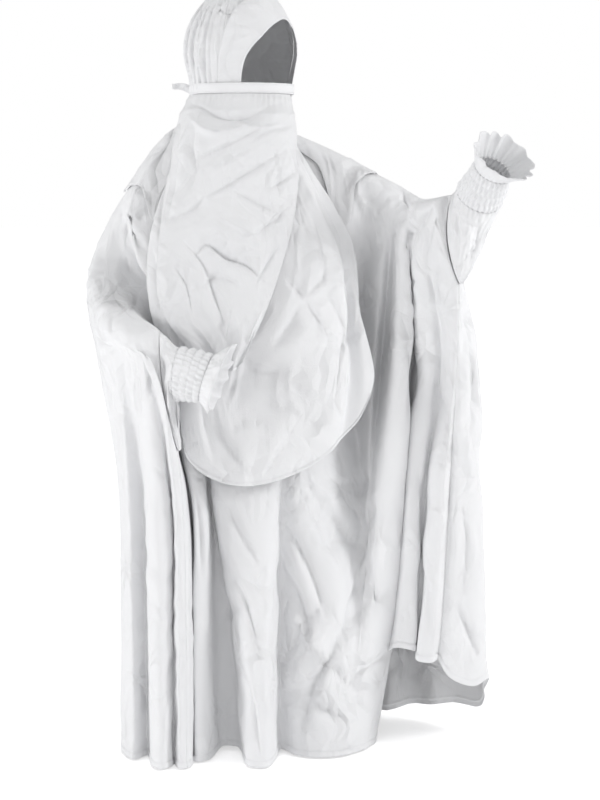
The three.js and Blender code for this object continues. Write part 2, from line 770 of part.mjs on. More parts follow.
const crownColumns = [
  ...crownEdge.map((row) => ({ angle: row.angle, z: row.z })),
  ...steps(12, 26.8, 173).slice(1).map((angle) => ({ angle, z: 0 })),
  ...steps(9, 180, 238).map((angle) => ({ angle, z: 0 })),
];
const crownGrid = crownColumns.map(({ angle, z }) => {
  const low = (z || neckHeight(angle)) + seamGap;
  return steps(9).map((w) => hoodPoint(angle, lerp(low, crownHeight, Math.cos(w * Math.PI / 2))));
});
add('hood_crown', wallFrom(crownGrid, gridNormals(crownGrid, true), true), lightPoplin());

// ---------------------------------------------------------------- sleeves, cuffs and ruffles

// Each arm's end runs 0 to 1 along the sleeve, 1 to 2 along the cuff, 2 to 3 along the ruffle.
// A ring is given by its centre, its axis and its half sizes up and across.
const armEnds = {
  left: {
    slit: slits.left,
    top: frontLine.getPoint(0),
    turn: 1,
    way: vec(0.89, -0.45, 0),
    rings: [
      { centre: vec(-128, -290, 866), axis: vec(0.96, -0.24, -0.1), up: 55, side: 36 },
      { centre: vec(-64, -304, 858), axis: vec(0.92, -0.2, -0.3), up: 51, side: 33 },
      { centre: vec(-32, -310, 858), axis: vec(0.92, -0.2, -0.34), up: 76, side: 52 },
    ],
  },
  right: {
    slit: slits.right,
    top: frontLine.getPoint(1),
    turn: -1,
    way: vec(0.5, -0.86, 0),
    rings: [
      { centre: vec(520, -180, 1238), axis: vec(0.3, -0.6, 0.74), up: 50, side: 50 },
      { centre: vec(545, -228, 1296), axis: vec(0.36, -0.6, 0.71), up: 40, side: 42 },
      { centre: vec(566, -258, 1326), axis: vec(0.42, -0.6, 0.68), up: 68, side: 70 },
    ],
  },
};
const puffs = 4; // rows of gathers between the cuff's elastic lines
const cuffWaves = 9; // gathers round the cuff
const ruffleWaves = 11;
const sleeveSag = 6; // how far the sleeve's underside hangs between slit and cuff

function ringPoint(end, ring, psi, stretch = 1, ahead = 0) {
  const axis = ring.axis.clone().normalize();
  const slope = end.top.clone().sub(end.slit.tip);
  const up = slope.addScaledVector(axis, -slope.dot(axis)).normalize();
  const side = axis.clone().cross(up).multiplyScalar(-end.turn);
  if (side.dot(end.slit.across) < 0) side.multiplyScalar(-1);
  return ring.centre.clone()
    .addScaledVector(up, ring.up * stretch * Math.cos(psi))
    .addScaledVector(side, ring.side * stretch * Math.sin(psi))
    .addScaledVector(axis, ahead);
}

function armEndAt(end, psi, w) {
  const [base, cuffEnd, edge] = end.rings;
  if (w < 1) {
    const h = (1 - Math.cos(psi)) / 2;
    const start = slitEdge(end.slit, end.top, Math.sin(psi) < 0 ? -1 : 1, h);
    const close = ringPoint(end, base, psi);
    const reach = start.distanceTo(close) * 0.7;
    const a = (2 * w ** 3) - (3 * w ** 2) + 1;
    const point = start.multiplyScalar(a).addScaledVector(close, 1 - a);
    point.addScaledVector(end.way, reach * (w ** 3 - 2 * w ** 2 + w));
    point.addScaledVector(base.axis, reach * (w ** 3 - w ** 2));
    point.z -= sleeveSag * Math.sin(Math.PI * w) * Math.max(0, -Math.cos(psi));
    return point;
  }
  const [from, to] = w < 2 ? [base, cuffEnd] : [cuffEnd, edge];
  const t = w < 2 ? w - 1 : w - 2;
  const ring = {
    centre: from.centre.clone().lerp(to.centre, t),
    axis: from.axis.clone().lerp(to.axis, t),
    up: lerp(from.up, to.up, t),
    side: lerp(from.side, to.side, t),
  };
  if (w < 2) {
    const puff = Math.abs(Math.sin(Math.PI * puffs * t));
    return ringPoint(end, ring, psi, 1 + 0.05 * puff + 0.035 * puff * Math.cos(cuffWaves * psi));
  }
  const wave = Math.cos(ruffleWaves * psi);
  return ringPoint(end, ring, psi, 1 + 0.075 * t * wave, 4 * t * wave);
}

function armEndPiece(name, end, from, to, around, along, material) {
  const angles = steps(around).slice(0, around).map((t) => t * Math.PI * 2 * end.turn);
  const grid = angles.map((psi) => steps(along, from, to).map((w) => armEndAt(end, psi, w)));
  // At a join between two pieces the wall's direction is square to the arm
  const joint = (w) => Math.abs(w - 1) < 0.01 || Math.abs(w - 2) < 0.01;
  const square = (psi, w) => {
    const ring = end.rings[Math.round(w) - 1];
    return ringPoint(end, ring, psi).sub(ring.centre).normalize();
  };
  const normals = angles.map((psi) => steps(along, from, to).map((w) => (joint(w)
    ? square(psi, w)
    : outward((a, b) => armEndAt(end, a * end.turn, b), psi * end.turn, w, 0.01, 3))));
  add(name, wallFrom(grid, normals, true), material);
}

for (const [side, end] of Object.entries(armEnds)) {
  armEndPiece(`sleeve_${side}`, end, 0.02, 0.997, 18, 5, poplin());
  armEndPiece(`cuff_${side}`, end, 1.002, 1.998, 18, 8, lightPoplin());
  armEndPiece(`ruffle_${side}`, end, 2.004, 3, 55, 2, lightPoplin());
}

export default group;
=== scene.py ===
import math

import bpy
import numpy as np
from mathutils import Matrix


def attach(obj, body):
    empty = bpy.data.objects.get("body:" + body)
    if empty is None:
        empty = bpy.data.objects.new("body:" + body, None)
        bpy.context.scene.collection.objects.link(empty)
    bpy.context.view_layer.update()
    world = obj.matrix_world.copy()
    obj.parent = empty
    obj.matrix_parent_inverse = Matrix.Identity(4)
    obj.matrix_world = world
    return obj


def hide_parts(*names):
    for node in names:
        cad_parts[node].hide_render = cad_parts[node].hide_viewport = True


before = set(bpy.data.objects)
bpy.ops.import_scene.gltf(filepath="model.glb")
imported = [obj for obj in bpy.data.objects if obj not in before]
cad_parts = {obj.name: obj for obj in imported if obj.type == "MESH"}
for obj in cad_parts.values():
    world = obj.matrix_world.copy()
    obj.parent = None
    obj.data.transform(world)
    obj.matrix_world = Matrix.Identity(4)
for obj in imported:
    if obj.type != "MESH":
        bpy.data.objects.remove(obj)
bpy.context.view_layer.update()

# The khimar in its worn form. The cloth is worked out in millimetres from the floor, by the
# same tables as the solids, then set in metres in the part's frame.
fine = 1.0  # share of the full mesh density

sizes = {
    "crown": 1700.0,  # floor to the top of the hood
    "layerLift": 3.6,  # a cape panel's outer face over the robe's
    "armRound": 42.0,
    "bandTop": 1486.0,
    "bandBottom": 1463.0,
    "bandRadius": 116.6,
    "cloth": 1.0,  # thickness of the cloth
}
hold = np.array([4.0, 0.0, sizes["crown"] - 2.0])  # inside of the crown, the part's origin
levels = {"high": 900.0, "mid": 600.0, "low": 300.0}


def vec(*p):
    return np.array(p, float)


def toFrame(points):
    return (np.asarray(points, float) - hold) / 1000.0


# the camera, at the height of the wearer's chest
camera = bpy.data.objects.new("camera", bpy.data.cameras.new("camera"))
bpy.context.collection.objects.link(camera)
cameraSizes = {"at": (134, -4600, 1300), "to": (134, 0, 777), "lens": 91.7}
camera.location = toFrame(cameraSizes["at"])
drop = cameraSizes["at"][2] - cameraSizes["to"][2]
camera.rotation_euler = (math.pi / 2 - math.atan2(drop, -cameraSizes["at"][1]), 0, 0)
camera.data.lens = cameraSizes["lens"]
camera.data.sensor_fit = "VERTICAL"
camera.data.sensor_height = 36
bpy.context.scene.camera = camera


def spanPoint(p0, p1, p2, p3, w):
    # centripetal curve between p1 and p2, w from 0 to 1
    gap = [np.sum((b - a) ** 2, -1) ** 0.25 for a, b in ((p0, p1), (p1, p2), (p2, p3))]
    mid = np.where(gap[1] < 1e-4, 1.0, gap[1])
    first = np.where(gap[0] < 1e-4, mid, gap[0])
    last = np.where(gap[2] < 1e-4, mid, gap[2])
    first, mid, last = first[..., None], mid[..., None], last[..., None]
    t1 = ((p1 - p0) / first - (p2 - p0) / (first + mid) + (p2 - p1) / mid) * mid
    t2 = ((p2 - p1) / mid - (p3 - p1) / (mid + last) + (p3 - p2) / last) * mid
    w = np.asarray(w)[..., None]
    c2 = -3 * p1 + 3 * p2 - 2 * t1 - t2
    c3 = 2 * p1 - 2 * p2 + t1 + t2
    return p1 + t1 * w + c2 * w ** 2 + c3 * w ** 3


def curveAt(points, t):
    # points (n, 3) or (n, m, 3), t (m,) from 0 to 1
    t = np.clip(np.atleast_1d(np.asarray(t, float)), 0, 1)
    points = np.asarray(points, float)
    if points.ndim == 2:
        points = np.repeat(points[:, None, :], len(t), axis=1)
    before = 2 * points[0] - points[1]
    after = 2 * points[-1] - points[-2]
    ends = np.concatenate([before[None], points, after[None]])
    spans = len(points) - 1
    k = np.clip(np.floor(t * spans).astype(int), 0, spans - 1)
    m = np.arange(len(t))
    return spanPoint(ends[k, m], ends[k + 1, m], ends[k + 2, m], ends[k + 3, m], t * spans - k)


def softNoise(x, y, seed):
    # smooth value noise from 0 to 1
    cells = np.random.default_rng(seed).random((64, 64))
    ix, iy = np.floor(x).astype(int), np.floor(y).astype(int)
    fx, fy = x - ix, y - iy
    fx, fy = fx * fx * (3 - 2 * fx), fy * fy * (3 - 2 * fy)
    a = cells[ix % 64, iy % 64] * (1 - fx) + cells[(ix + 1) % 64, iy % 64] * fx
    b = cells[ix % 64, (iy + 1) % 64] * (1 - fx) + cells[(ix + 1) % 64, (iy + 1) % 64] * fx
    return a * (1 - fy) + b * fy


def wrinkles(x, z, seed, across, down, lean):
    # crisp ridges between soft hollows, longer along the hang than across it
    turn = (softNoise(x / 420 + 7, z / 420 + 3, seed + 1) - 0.5) * 1.6
    shift = (softNoise(x / 130, z / 170, seed + 2) - 0.5) * 2.2
    n = softNoise((x + (lean + turn) * z) / across + shift, z / down + shift * 0.6 + 20, seed)
    return 1 - 2 * np.abs(2 * n - 1) ** 0.8


creaseShape = {"steep": 0.6, "long": 2.4, "taper": 0.8, "reach": 5, "fade": 3.6}


def creaseField(x, z, rows, seed, gain=1.5):
    # each row is depth, width, then x and z along a trough with a crisp bottom, or along a ridge
    # where the depth is negative
    total = np.zeros_like(x)
    for number, (depth, width, *path) in enumerate(rows):
        points = np.array([(a, 0, b) for a, b in zip(path[::2], path[1::2])], float)
        line = curveAt(points, np.linspace(0, 1, 6 * len(points)))[:, [0, 2]]
        seg = line[1:] - line[:-1]
        length = np.concatenate([[0], np.cumsum(np.hypot(seg[:, 0], seg[:, 1]))])
        reach = creaseShape["reach"] * width
        near = (x > line[:, 0].min() - reach) & (x < line[:, 0].max() + reach)
        near &= (z > line[:, 1].min() - reach) & (z < line[:, 1].max() + reach)
        if not near.any():
            continue
        px, pz = x[near], z[near]
        best = np.full(px.shape, 1e9)
        side = np.zeros_like(px)
        along = np.zeros_like(px)
        for i, (dx, dz) in enumerate(seg):
            size = max(1e-6, dx * dx + dz * dz)
            t = np.clip(((px - line[i, 0]) * dx + (pz - line[i, 1]) * dz) / size, 0, 1)
            ox, oz = px - line[i, 0] - t * dx, pz - line[i, 1] - t * dz
            d = np.hypot(ox, oz)
            closer = d < best
            best = np.where(closer, d, best)
            side = np.where(closer, np.sign(ox * dz - oz * dx), side)
            along = np.where(closer, (length[i] + t * math.sqrt(size)) / length[-1], along)
        taper = np.sin(np.pi * np.clip(along, 0.02, 0.98)) ** creaseShape["taper"]
        # a crisp line, steep on one side and long on the other, so two flat facets meet in it
        steepSide = side * (1 if number % 2 else -1) > 0
        steep = np.where(steepSide, creaseShape["steep"], creaseShape["long"])
        s = best / (width * (0.5 + 0.6 * taper) * steep)
        uneven = 0.75 + 0.5 * softNoise(px / 60 + number, pz / 60, seed)
        ended = 1 - rampIn(best, creaseShape["fade"] * width, reach)
        total[near] -= gain * depth * taper * uneven * np.exp(-s) * ended
    return total


def normalsOf(grid, wrap=False):
    if wrap:
        du = np.roll(grid, -1, 0) - np.roll(grid, 1, 0)
    else:
        du = np.gradient(grid, axis=0)
    n = np.cross(np.gradient(grid, axis=1), du)
    return n / np.maximum(1e-9, np.linalg.norm(n, axis=-1, keepdims=True))


def twoWrinkles(along, z, coarse, small):
    # each is height, seed, breadth, length and lean
    return sum(wrinkles(along, z, *shape) * high for high, *shape in (coarse, small))


def moved(grid, amount, wrap=False):
    return grid + normalsOf(grid, wrap) * amount[..., None]


def steps(count, low=0.0, high=1.0):
    return np.linspace(low, high, max(2, int(count)))


hemShape = {"proud": 1.3, "drawnIn": 1.8, "seam": 2.0}


def hemRelief(grid, inset):
    # the turned hem is a cloth's thickness proud, with the seam line drawn in above it
    down = np.zeros(grid.shape[:2])
    down[:, :-1] = np.cumsum(np.linalg.norm(grid[:, :0:-1] - grid[:, -2::-1], axis=-1), 1)[:, ::-1]
    turned = hemShape["proud"] * (1 - rampIn(down, inset - 1, inset + 1))
    return turned - hemShape["drawnIn"] * np.exp(-((down - inset) / hemShape["seam"]) ** 2)


def spreadOf(grid):
    # real breadth from the first column, the same all down a column
    gaps = np.linalg.norm(np.diff(grid, axis=0, prepend=grid[:1]), axis=-1)
    return np.repeat(np.cumsum(gaps.mean(1))[:, None], grid.shape[1], 1)


def rowsDown(count, hemShare):
    # even rows with a few close ones at the hem
    above, hem = steps(count * fine, 0, 1 - hemShare), steps(9 * fine + 2, 1 - hemShare, 1)
    return np.unique(np.concatenate([above, hem]))


def rampIn(value, low, high):
    t = np.clip((value - low) / (high - low), 0, 1)
    return t * t * (3 - 2 * t)


def addNode(tree, kind, inputs=None, **settings):
    # inputs are plain values or other nodes' outputs
    node = tree.nodes.new(kind)
    for key, value in settings.items():
        setattr(node, key, value)
    for key, value in (inputs or {}).items():
        if isinstance(value, bpy.types.NodeSocket):
            tree.links.new(value, node.inputs[key])
        else:
            node.inputs[key].default_value = value
    return node


def mathNode(tree, kind, a, b):
    return addNode(tree, "ShaderNodeMath", {0: a, 1: b}, operation=kind).outputs[0]


def newGroup(name, kind, inputs, outputs):
    tree = bpy.data.node_groups.new(name, kind)
    for way, sockets in (("INPUT", inputs), ("OUTPUT", outputs)):
        for label, held in sockets.items():
            tree.interface.new_socket(name=label, in_out=way, socket_type="NodeSocket" + held)
    return tree, tree.nodes.new("NodeGroupInput").outputs, tree.nodes.new("NodeGroupOutput").inputs


# handling creases: warped cell edges in two sizes, patchy, over a very fine thread grain
crumple = {
    "warp": 7.0,
    "detail": 1.5,
    "push": 0.14,
    "hang": 0.6,  # cells are longer down the cloth than across it
    "cells": ((1.0, 1.0), (2.3, 0.35)),  # how much finer, and how high
    "edge": 0.42,
    "patch": 4.0,
    "patchFrom": 0.4,
    "patchTo": 0.64,
    "thread": 700.0,
    "grain": 0.1,
    "depth": 0.018,
}


def crumpleGroup():
    tree, given, out = newGroup("crumpledCloth", "ShaderNodeTree",
                                {"Cell Size": "Float", "Crumple": "Float", "Grain": "Float"},
                                {"Height": "Float", "Shade": "Float"})
    place = tree.nodes.new("ShaderNodeTexCoord").outputs["Object"]
    warp = addNode(tree, "ShaderNodeTexNoise",
                   {"Vector": place, "Scale": crumple["warp"], "Detail": crumple["detail"]})
    hang = addNode(tree, "ShaderNodeVectorMath", {0: place, 1: (1.0, 1.0, crumple["hang"])},
                   operation="MULTIPLY")
    push = addNode(tree, "ShaderNodeVectorMath",
                   {0: warp.outputs["Color"], 1: (crumple["push"],) * 3, 2: hang.outputs[0]},
                   operation="MULTIPLY_ADD")
    scale = mathNode(tree, "DIVIDE", 1.0, given["Cell Size"])
    heights = []
    for finer, weight in crumple["cells"]:
        cells = addNode(tree, "ShaderNodeTexVoronoi",
                        {"Vector": push.outputs[0], "Scale": mathNode(tree, "MULTIPLY", scale, finer)},
                        feature="DISTANCE_TO_EDGE")
        soft = addNode(tree, "ShaderNodeMapRange",
                       {"Value": cells.outputs["Distance"], "From Max": crumple["edge"]})
        heights.append(mathNode(tree, "MULTIPLY", soft.outputs["Result"], weight))
    patch = addNode(tree, "ShaderNodeTexNoise", {"Vector": place, "Scale": crumple["patch"]})
    mask = addNode(tree, "ShaderNodeMapRange",
                   {"Value": patch.outputs["Fac"], "From Min": crumple["patchFrom"],
                    "From Max": crumple["patchTo"]})
    height = mathNode(tree, "MULTIPLY", mathNode(tree, "ADD", *heights), mask.outputs["Result"])
    height = mathNode(tree, "MULTIPLY", height, given["Crumple"])
    thread = addNode(tree, "ShaderNodeTexNoise", {"Vector": place, "Scale": crumple["thread"]})
    grain = mathNode(tree, "MULTIPLY", thread.outputs["Fac"], given["Grain"])
    tree.links.new(mathNode(tree, "ADD", height, grain), out["Height"])
    tree.links.new(patch.outputs["Fac"], out["Shade"])
    return tree


crumpled = crumpleGroup()


def clothMaterial(name, color, crumpling, cell, roughness=0.78):
    material = bpy.data.materials.new(name)
    material.use_nodes = True
    tree = material.node_tree
    shader = tree.nodes["Principled BSDF"].inputs
    shader["Roughness"].default_value = roughness
    shader["Specular IOR Level"].default_value = 0.25
    shader["Sheen Weight"].default_value = 0.12
    shader["Sheen Roughness"].default_value = 0.5
    finish = tree.nodes.new("ShaderNodeGroup")
    finish.node_tree = crumpled
    for label, value in (("Cell Size", cell), ("Crumple", crumpling), ("Grain", crumple["grain"])):
        finish.inputs[label].default_value = value
    bump = addNode(tree, "ShaderNodeBump",
                   {"Height": finish.outputs["Height"], "Distance": crumple["depth"], "Strength": 1.0})
    tree.links.new(bump.outputs["Normal"], shader["Normal"])
    shade = addNode(tree, "ShaderNodeMix",
                    {0: finish.outputs["Shade"], 6: (*[c * 0.975 for c in color], 1), 7: (*color, 1)},
                    data_type="RGBA")
    tree.links.new(shade.outputs[2], shader["Base Color"])
    return material


poplin = clothMaterial("whitePoplin", (0.915, 0.918, 0.93), 1.0, 0.12)
# the veil's and hood's finer, less creased poplin; its white is set darker than the robe's as painted shade
lightPoplinPaintedShade = clothMaterial("lightPoplinPaintedShade", (0.865, 0.868, 0.88), 0.6, 0.09)
trimPoplin = clothMaterial("trimPoplin", (0.92, 0.923, 0.935), 0.25, 0.05)
thread = clothMaterial("sewingThread", (0.84, 0.845, 0.86), 0.0, 0.05, 0.6)


def meshFrom(name, grid, wrap=False):
    columns, rows = grid.shape[:2]
    index = np.arange(columns * rows).reshape(columns, rows)
    if wrap:
        index = np.concatenate([index, index[:1]])
    a, b, c, d = index[:-1, :-1], index[:-1, 1:], index[1:, 1:], index[1:, :-1]
    faces = np.stack([a, b, c, d], -1).reshape(-1, 4)
    mesh = bpy.data.meshes.new(name)
    mesh.from_pydata(toFrame(grid.reshape(-1, 3)).tolist(), [], faces.tolist())
    across = np.zeros((columns, rows))
    across[1:] = np.cumsum(np.linalg.norm(grid[1:] - grid[:-1], axis=-1), 0)
    across[:] = across.mean(1, keepdims=True)
    down = np.zeros((columns, rows))
    down[:, 1:] = np.cumsum(np.linalg.norm(grid[:, 1:] - grid[:, :-1], axis=-1), 1)
    layout = np.stack([across, down], -1).reshape(-1, 2) / 1000
    uv = mesh.uv_layers.new(name="cloth")
    uv.data.foreach_set("uv", layout[faces.reshape(-1)].ravel())
    mesh.polygons.foreach_set("use_smooth", np.ones(len(faces), bool))
    return mesh


def placed(name, mesh, stoodFor=None):
    piece = bpy.data.objects.new(name, mesh)
    bpy.context.collection.objects.link(piece)
    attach(piece, "root")
    if stoodFor:
        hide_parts(stoodFor)
    return piece


def clothPiece(name, grid, material, wrap=False, pole=False):
    mesh = meshFrom(name, grid, wrap)
    mesh.materials.append(material)
    piece = placed(name + "_cloth", mesh, name)
    if pole:
        piece.modifiers.new("weld", "WELD").merge_threshold = 0.00002
    shell = piece.modifiers.new("thickness", "SOLIDIFY")
    shell.thickness = sizes["cloth"] / 1000
    shell.offset = -1


# the seam over the arms, left wrist to right wrist
armPoints = [(-165, -278, 954), (-240, -190, 985), (-294, -70, 1054), (-286, -24, 1180),
             (-168, 5, 1370), (-90, 10, 1415)]
armPointsRight = [(88, 10, 1388), (200, 5, 1340), (300, -15, 1290), (362, -35, 1258),
                  (400, -72, 1234), (464, -152, 1243)]
neckFront = [(-62, -48, 1392), (4, -80, 1374), (64, -50, 1376)]
neckBack = [(-64, 68, 1412), (0, 90, 1408), (62, 66, 1398)]
seamEnd = 14.0


def seamPoint(neck, at):
    at = np.atleast_1d(np.asarray(at, float))
    left = curveAt(armPoints, at / 5)
    middle = curveAt([armPoints[-1], *neck, armPointsRight[0]], (at - 5) / 4)
    right = curveAt(armPointsRight, (at - 9) / 5)
    return np.where((at <= 5)[:, None], left, np.where((at <= 9)[:, None], middle, right))


def seamOut(neck, at):
    # level direction square to the seam, outward for the front
    step = 0.0015
    low = np.where(at <= 5, 0, np.where(at <= 9, 5 + 1e-6, 9 + 1e-6))
    high = np.where(at <= 5, 5, np.where(at <= 9, 9, 14))
    way = seamPoint(neck, np.minimum(high, at + step)) - seamPoint(neck, np.maximum(low, at - step))
    out = np.stack([way[:, 1], -way[:, 0], np.zeros(len(way))], -1)
    return out / np.linalg.norm(out, axis=-1, keepdims=True)


# a row for each fold: seam, then plan at three heights and at the hem, and the hem's height
frontFolds = np.array([
    [0, -158, -279, -118, -290, -112, -288, -112, -286, 4],
    [0.3, -170, -234, -112, -258, -104, -266, -105, -264, 4],
    [1.0, -206, -160, -112, -165, -100, -172, -101, -172, 4],
    [2.2, -186, -112, -101, -218, -97, -234, -95, -238, 4],
    [3.2, -150, -112, -76, -212, -70, -224, -68, -220, 4],
    [4.0, -112, -124, -68, -158, -50, -146, -42, -136, 10],
    [4.6, -78, -134, -62, -160, -24, -142, -6, -138, 10],
    [5.4, -48, -140, -57, -188, -14, -206, 8, -212, 4],
    [6.2, -20, -145, -36, -210, 14, -260, 30, -280, 4],
    [7.0, 15, -148, 52, -213, 58, -262, 58, -282, 4],
    [7.6, 45, -149, 80, -194, 80, -212, 77, -226, 4],
    [8.3, 75, -147, 90, -164, 90, -156, 90, -152, 8],
    [9.1, 105, -143, 125, -178, 128, -190, 128, -190, 4],
    [9.7, 135, -135, 165, -170, 172, -202, 175, -206, 4],
    [10.2, 165, -120, 205, -132, 212, -196, 213, -200, 4],
    [10.6, 200, -85, 238, -85, 240, -176, 240, -184, 4],
    [11.0, 245, 10, 272, -45, 258, -158, 256, -168, 4],
    [11.7, 302, -58, 286, -86, 270, -158, 268, -154, 4],
    [12.2, 320, -30, 294, -92, 280, -158, 278, -142, 4],
    [12.6, 345, -140, 305, -152, 300, -156, 290, -118, 4],
    [13.0, 383, -132, 365, -135, 350, -112, 308, -62, 4],
    [13.15, 380, -62, 356, -40, 338, -28, 306, 10, 110],
    [13.3, 390, -120, 373, -135, 354, -142, 346, -142, 236],
    [13.5, 428, -142, 402, -142, 392, -150, 388, -150, 232],
    [13.62, 444, -136, 412, -118, 400, -124, 396, -122, 226],
    [13.75, 453, -166, 422, -168, 404, -172, 394, -170, 214],
    [13.9, 466, -188, 448, -184, 430, -184, 426, -180, 212],
    [14, 474, -190, 463, -174, 447, -172, 439, -168, 216],
], float)
backFolds = np.array([
    [14, 474, -190, 463, -174, 447, -172, 439, -168, 216],
    [13.8, 486, -188, 480, -180, 474, -180, 466, -178, 178],
    [13.6, 505, -176, 510, -172, 516, -170, 520, -166, 155],
    [13.4, 524, -152, 535, -146, 546, -142, 555, -138, 166],
    [13.1, 524, -95, 534, -84, 545, -88, 553, -84, 130],
    [12.8, 505, -20, 520, -12, 538, -10, 548, 2, 64],
    [12.4, 470, 40, 480, 60, 490, 66, 494, 72, 54],
    [12.0, 430, 52, 440, 72, 445, 80, 446, 84, 46],
    [11.4, 385, 88, 395, 132, 400, 146, 400, 150, 30],
    [10.8, 335, 76, 345, 110, 345, 118, 345, 120, 22],
    [10.2, 285, 104, 290, 165, 292, 188, 292, 192, 10],
    [9.6, 220, 98, 225, 132, 230, 146, 230, 150, 4],
    [8.6, 150, 124, 160, 190, 165, 216, 165, 222, 4],
    [7.8, 80, 124, 90, 154, 95, 172, 95, 178, 4],
    [7.0, 10, 134, 15, 196, 15, 226, 15, 232, 4],
    [6.2, -60, 124, -65, 158, -65, 178, -65, 184, 4],
    [5.2, -125, 120, -140, 182, -145, 206, -145, 212, 4],
    [4.3, -185, 92, -200, 128, -205, 144, -205, 148, 4],
    [3.5, -240, 64, -255, 106, -258, 120, -258, 122, 4],
    [2.8, -290, 6, -280, 26, -276, 30, -276, 32, 4],
    [2.3, -318, -58, -277, -40, -271, -48, -270, -60, 4],
    [1.9, -314, -118, -270, -105, -266, -140, -264, -156, 4],
    [1.6, -290, -170, -256, -158, -252, -190, -250, -198, 4],
    [1.3, -268, -206, -240, -206, -234, -218, -230, -220, 4],
    [1.05, -250, -226, -213, -186, -207, -188, -205, -186, 4],
    [0.85, -228, -258, -196, -262, -192, -272, -186, -278, 4],
    [0.65, -218, -280, -172, -290, -168, -295, -166, -296, 4],
    [0.5, -206, -292, -152, -284, -149, -282, -148, -276, 4],
    [0.35, -194, -300, -144, -262, -141, -256, -142, -252, 4],
    [0.2, -182, -310, -134, -297, -128, -292, -126, -292, 4],
    [0, -158, -279, -118, -290, -112, -288, -112, -286, 4],
], float)

slits = {
    "left": {"tip": vec(-128, -290, 702), "tipAt": 3.66, "half": 21, "across": vec(0.45, 0.89, 0)},
    "right": {"tip": vec(478, -198, 1052), "tipAt": 2.5, "half": 22, "across": vec(-0.86, -0.5, 0)},
}


def slitEdge(slit, top, side, h, clear=0.0):
    h = np.asarray(h, float)[..., None]
    opened = (slit["half"] + clear) * np.sin(np.pi * np.clip(h, 0, 1)) ** 0.8
    return top + (slit["tip"] - top) * h + slit["across"] * side * opened


crookFill = {"from": 1.2, "to": 3.34, "most": 66}  # cloth standing out at the crook of the bent arm


def foldLine(fold, neck, side, v):
    seam, highX, highY, midX, midY, lowX, lowY, *hem = fold
    share = np.clip((seam - crookFill["from"]) / (crookFill["to"] - crookFill["from"]), 0, 1)
    stand = crookFill["most"] * math.sin(math.pi * share) if side > 0 else 0
    top = seamPoint(neck, seam)[0]
    out = seamOut(neck, np.array([seam]))[0] * side
    bend = sizes["armRound"]
    points = [top, top + out * (bend * 0.72 + stand * 0.4) - vec(0, 0, bend * 0.3),
              top + out * (bend + stand) - vec(0, 0, bend),
              vec(highX, highY, min(levels["high"], top[2] - bend - 8)), vec(midX, midY, levels["mid"]),
              vec(lowX, lowY, max(levels["low"], hem[2] + 50)), vec(*hem)]
    return curveAt(points, v)


def sideLine(fold, neck, slit, side, v):
    # down the slit's edge to its tip, then on down the side seam
    seam, _, _, midX, midY, lowX, lowY, *hem = fold
    top = seamPoint(neck, seam)[0]
    tip = slit["tip"]
    below = [(top + tip) / 2, tip, vec(midX, midY, min(levels["mid"], tip[2] - 60)),
             vec(lowX, lowY, max(levels["low"], hem[2] + 50)), vec(*hem)]
    at = v * 6
    t = np.interp(at, [slit["tipAt"], 4, 5, 6], [0.25, 0.5, 0.75, 1.0])
    upper = slitEdge(slit, top, side, np.clip(at / slit["tipAt"], 0, 1), 1.2)
    return np.where((at <= slit["tipAt"])[:, None], upper, curveAt(below, t))


def foldLines(folds, neck, side, v):
    ends = {0: slits["left"], seamEnd: slits["right"]}
    return np.array([sideLine(fold, neck, ends[fold[0]], side, v) if fold[0] in ends
                     else foldLine(fold, neck, side, v) for fold in folds])


def acrossLines(lines, before, after, k):
    # lines (n, rows, 3) joined across at places k
    ends = np.concatenate([before[None], lines, after[None]])
    first = np.clip(np.floor(k).astype(int), 0, len(lines) - 2)
    w = np.repeat((k - first)[:, None], lines.shape[1], axis=1)
    return spanPoint(ends[first], ends[first + 1], ends[first + 2], ends[first + 3], w)


def robeGrid(folds, others, neck, otherNeck, side, k, v):
    lines = foldLines(folds, neck, side, v)
    far = foldLines(others[[1, -2]], otherNeck, -side, v)
    grid = acrossLines(lines, far[1], far[0], k)
    seam = np.interp(k, np.arange(len(folds)), folds[:, 0])
    miss = seamPoint(neck, seam) - grid[:, 0]
    fade = np.clip(1 - v * 6 / 2.4, 0, 1)
    return grid + miss[:, None, :] * fade[None, :, None]


def placesAlong(folds, spacing):
    # places among the folds, spaced by real breadth at the widest of the fixed heights
    gaps = np.max([np.hypot(*(folds[1:, c:c + 2] - folds[:-1, c:c + 2]).T) for c in (1, 3, 5)], 0)
    counts = np.maximum(4, np.ceil(gaps / spacing * fine).astype(int))
    k = [i + steps(n + 1)[:-1] for i, n in enumerate(counts)]
    return np.concatenate([*k, [len(folds) - 1.0]])


robe = {
    "spacing": 5.85,  # mesh breadth
    "backSpacing": 5.85 * 1.14,
    "rows": 136,
    "wrinkle": (2.8, (74, 260, 0.2)),  # height of the handling wrinkles; breadth, length and lean
    "fineWrinkle": (1.7, (31, 90, -0.3)),
    "frontCrease": 3.1,
    "backCrease": 2.4,
    "deepest": -19,
    "proudest": 13,
    "hemTurn": 14,  # depth of the sewn hem
    "restsOn": ["hood_crown", "sleeve_left", "sleeve_right"],
}
robeDown = rowsDown(robe["rows"], 0.015)


def robeRelief(grid, rows, backRows, seed):
    x, y, z = np.moveaxis(grid, -1, 0)
    spread = spreadOf(grid)
    (high, shape), (fineHigh, fineShape) = robe["wrinkle"], robe["fineWrinkle"]
    relief = twoWrinkles(spread, z, (high, seed, *shape), (fineHigh, seed + 9, *fineShape))
    relief *= 0.35 + 0.75 * rampIn(softNoise(spread / 240, z / 260, seed + 4), 0.3, 0.75)
    front = rampIn(-y, -40, 20)
    relief += creaseField(x, z, rows, seed, robe["frontCrease"]) * front
    return relief + creaseField(x, z, backRows, seed + 3, robe["backCrease"]) * (1 - front)


def seamFade(k, v, count):
    ends = rampIn(k, 0, 0.7) * rampIn(count - 1 - k, 0, 0.7)
    return ends[:, None] * rampIn(v * 6, 0.0, 0.7)[None, :]


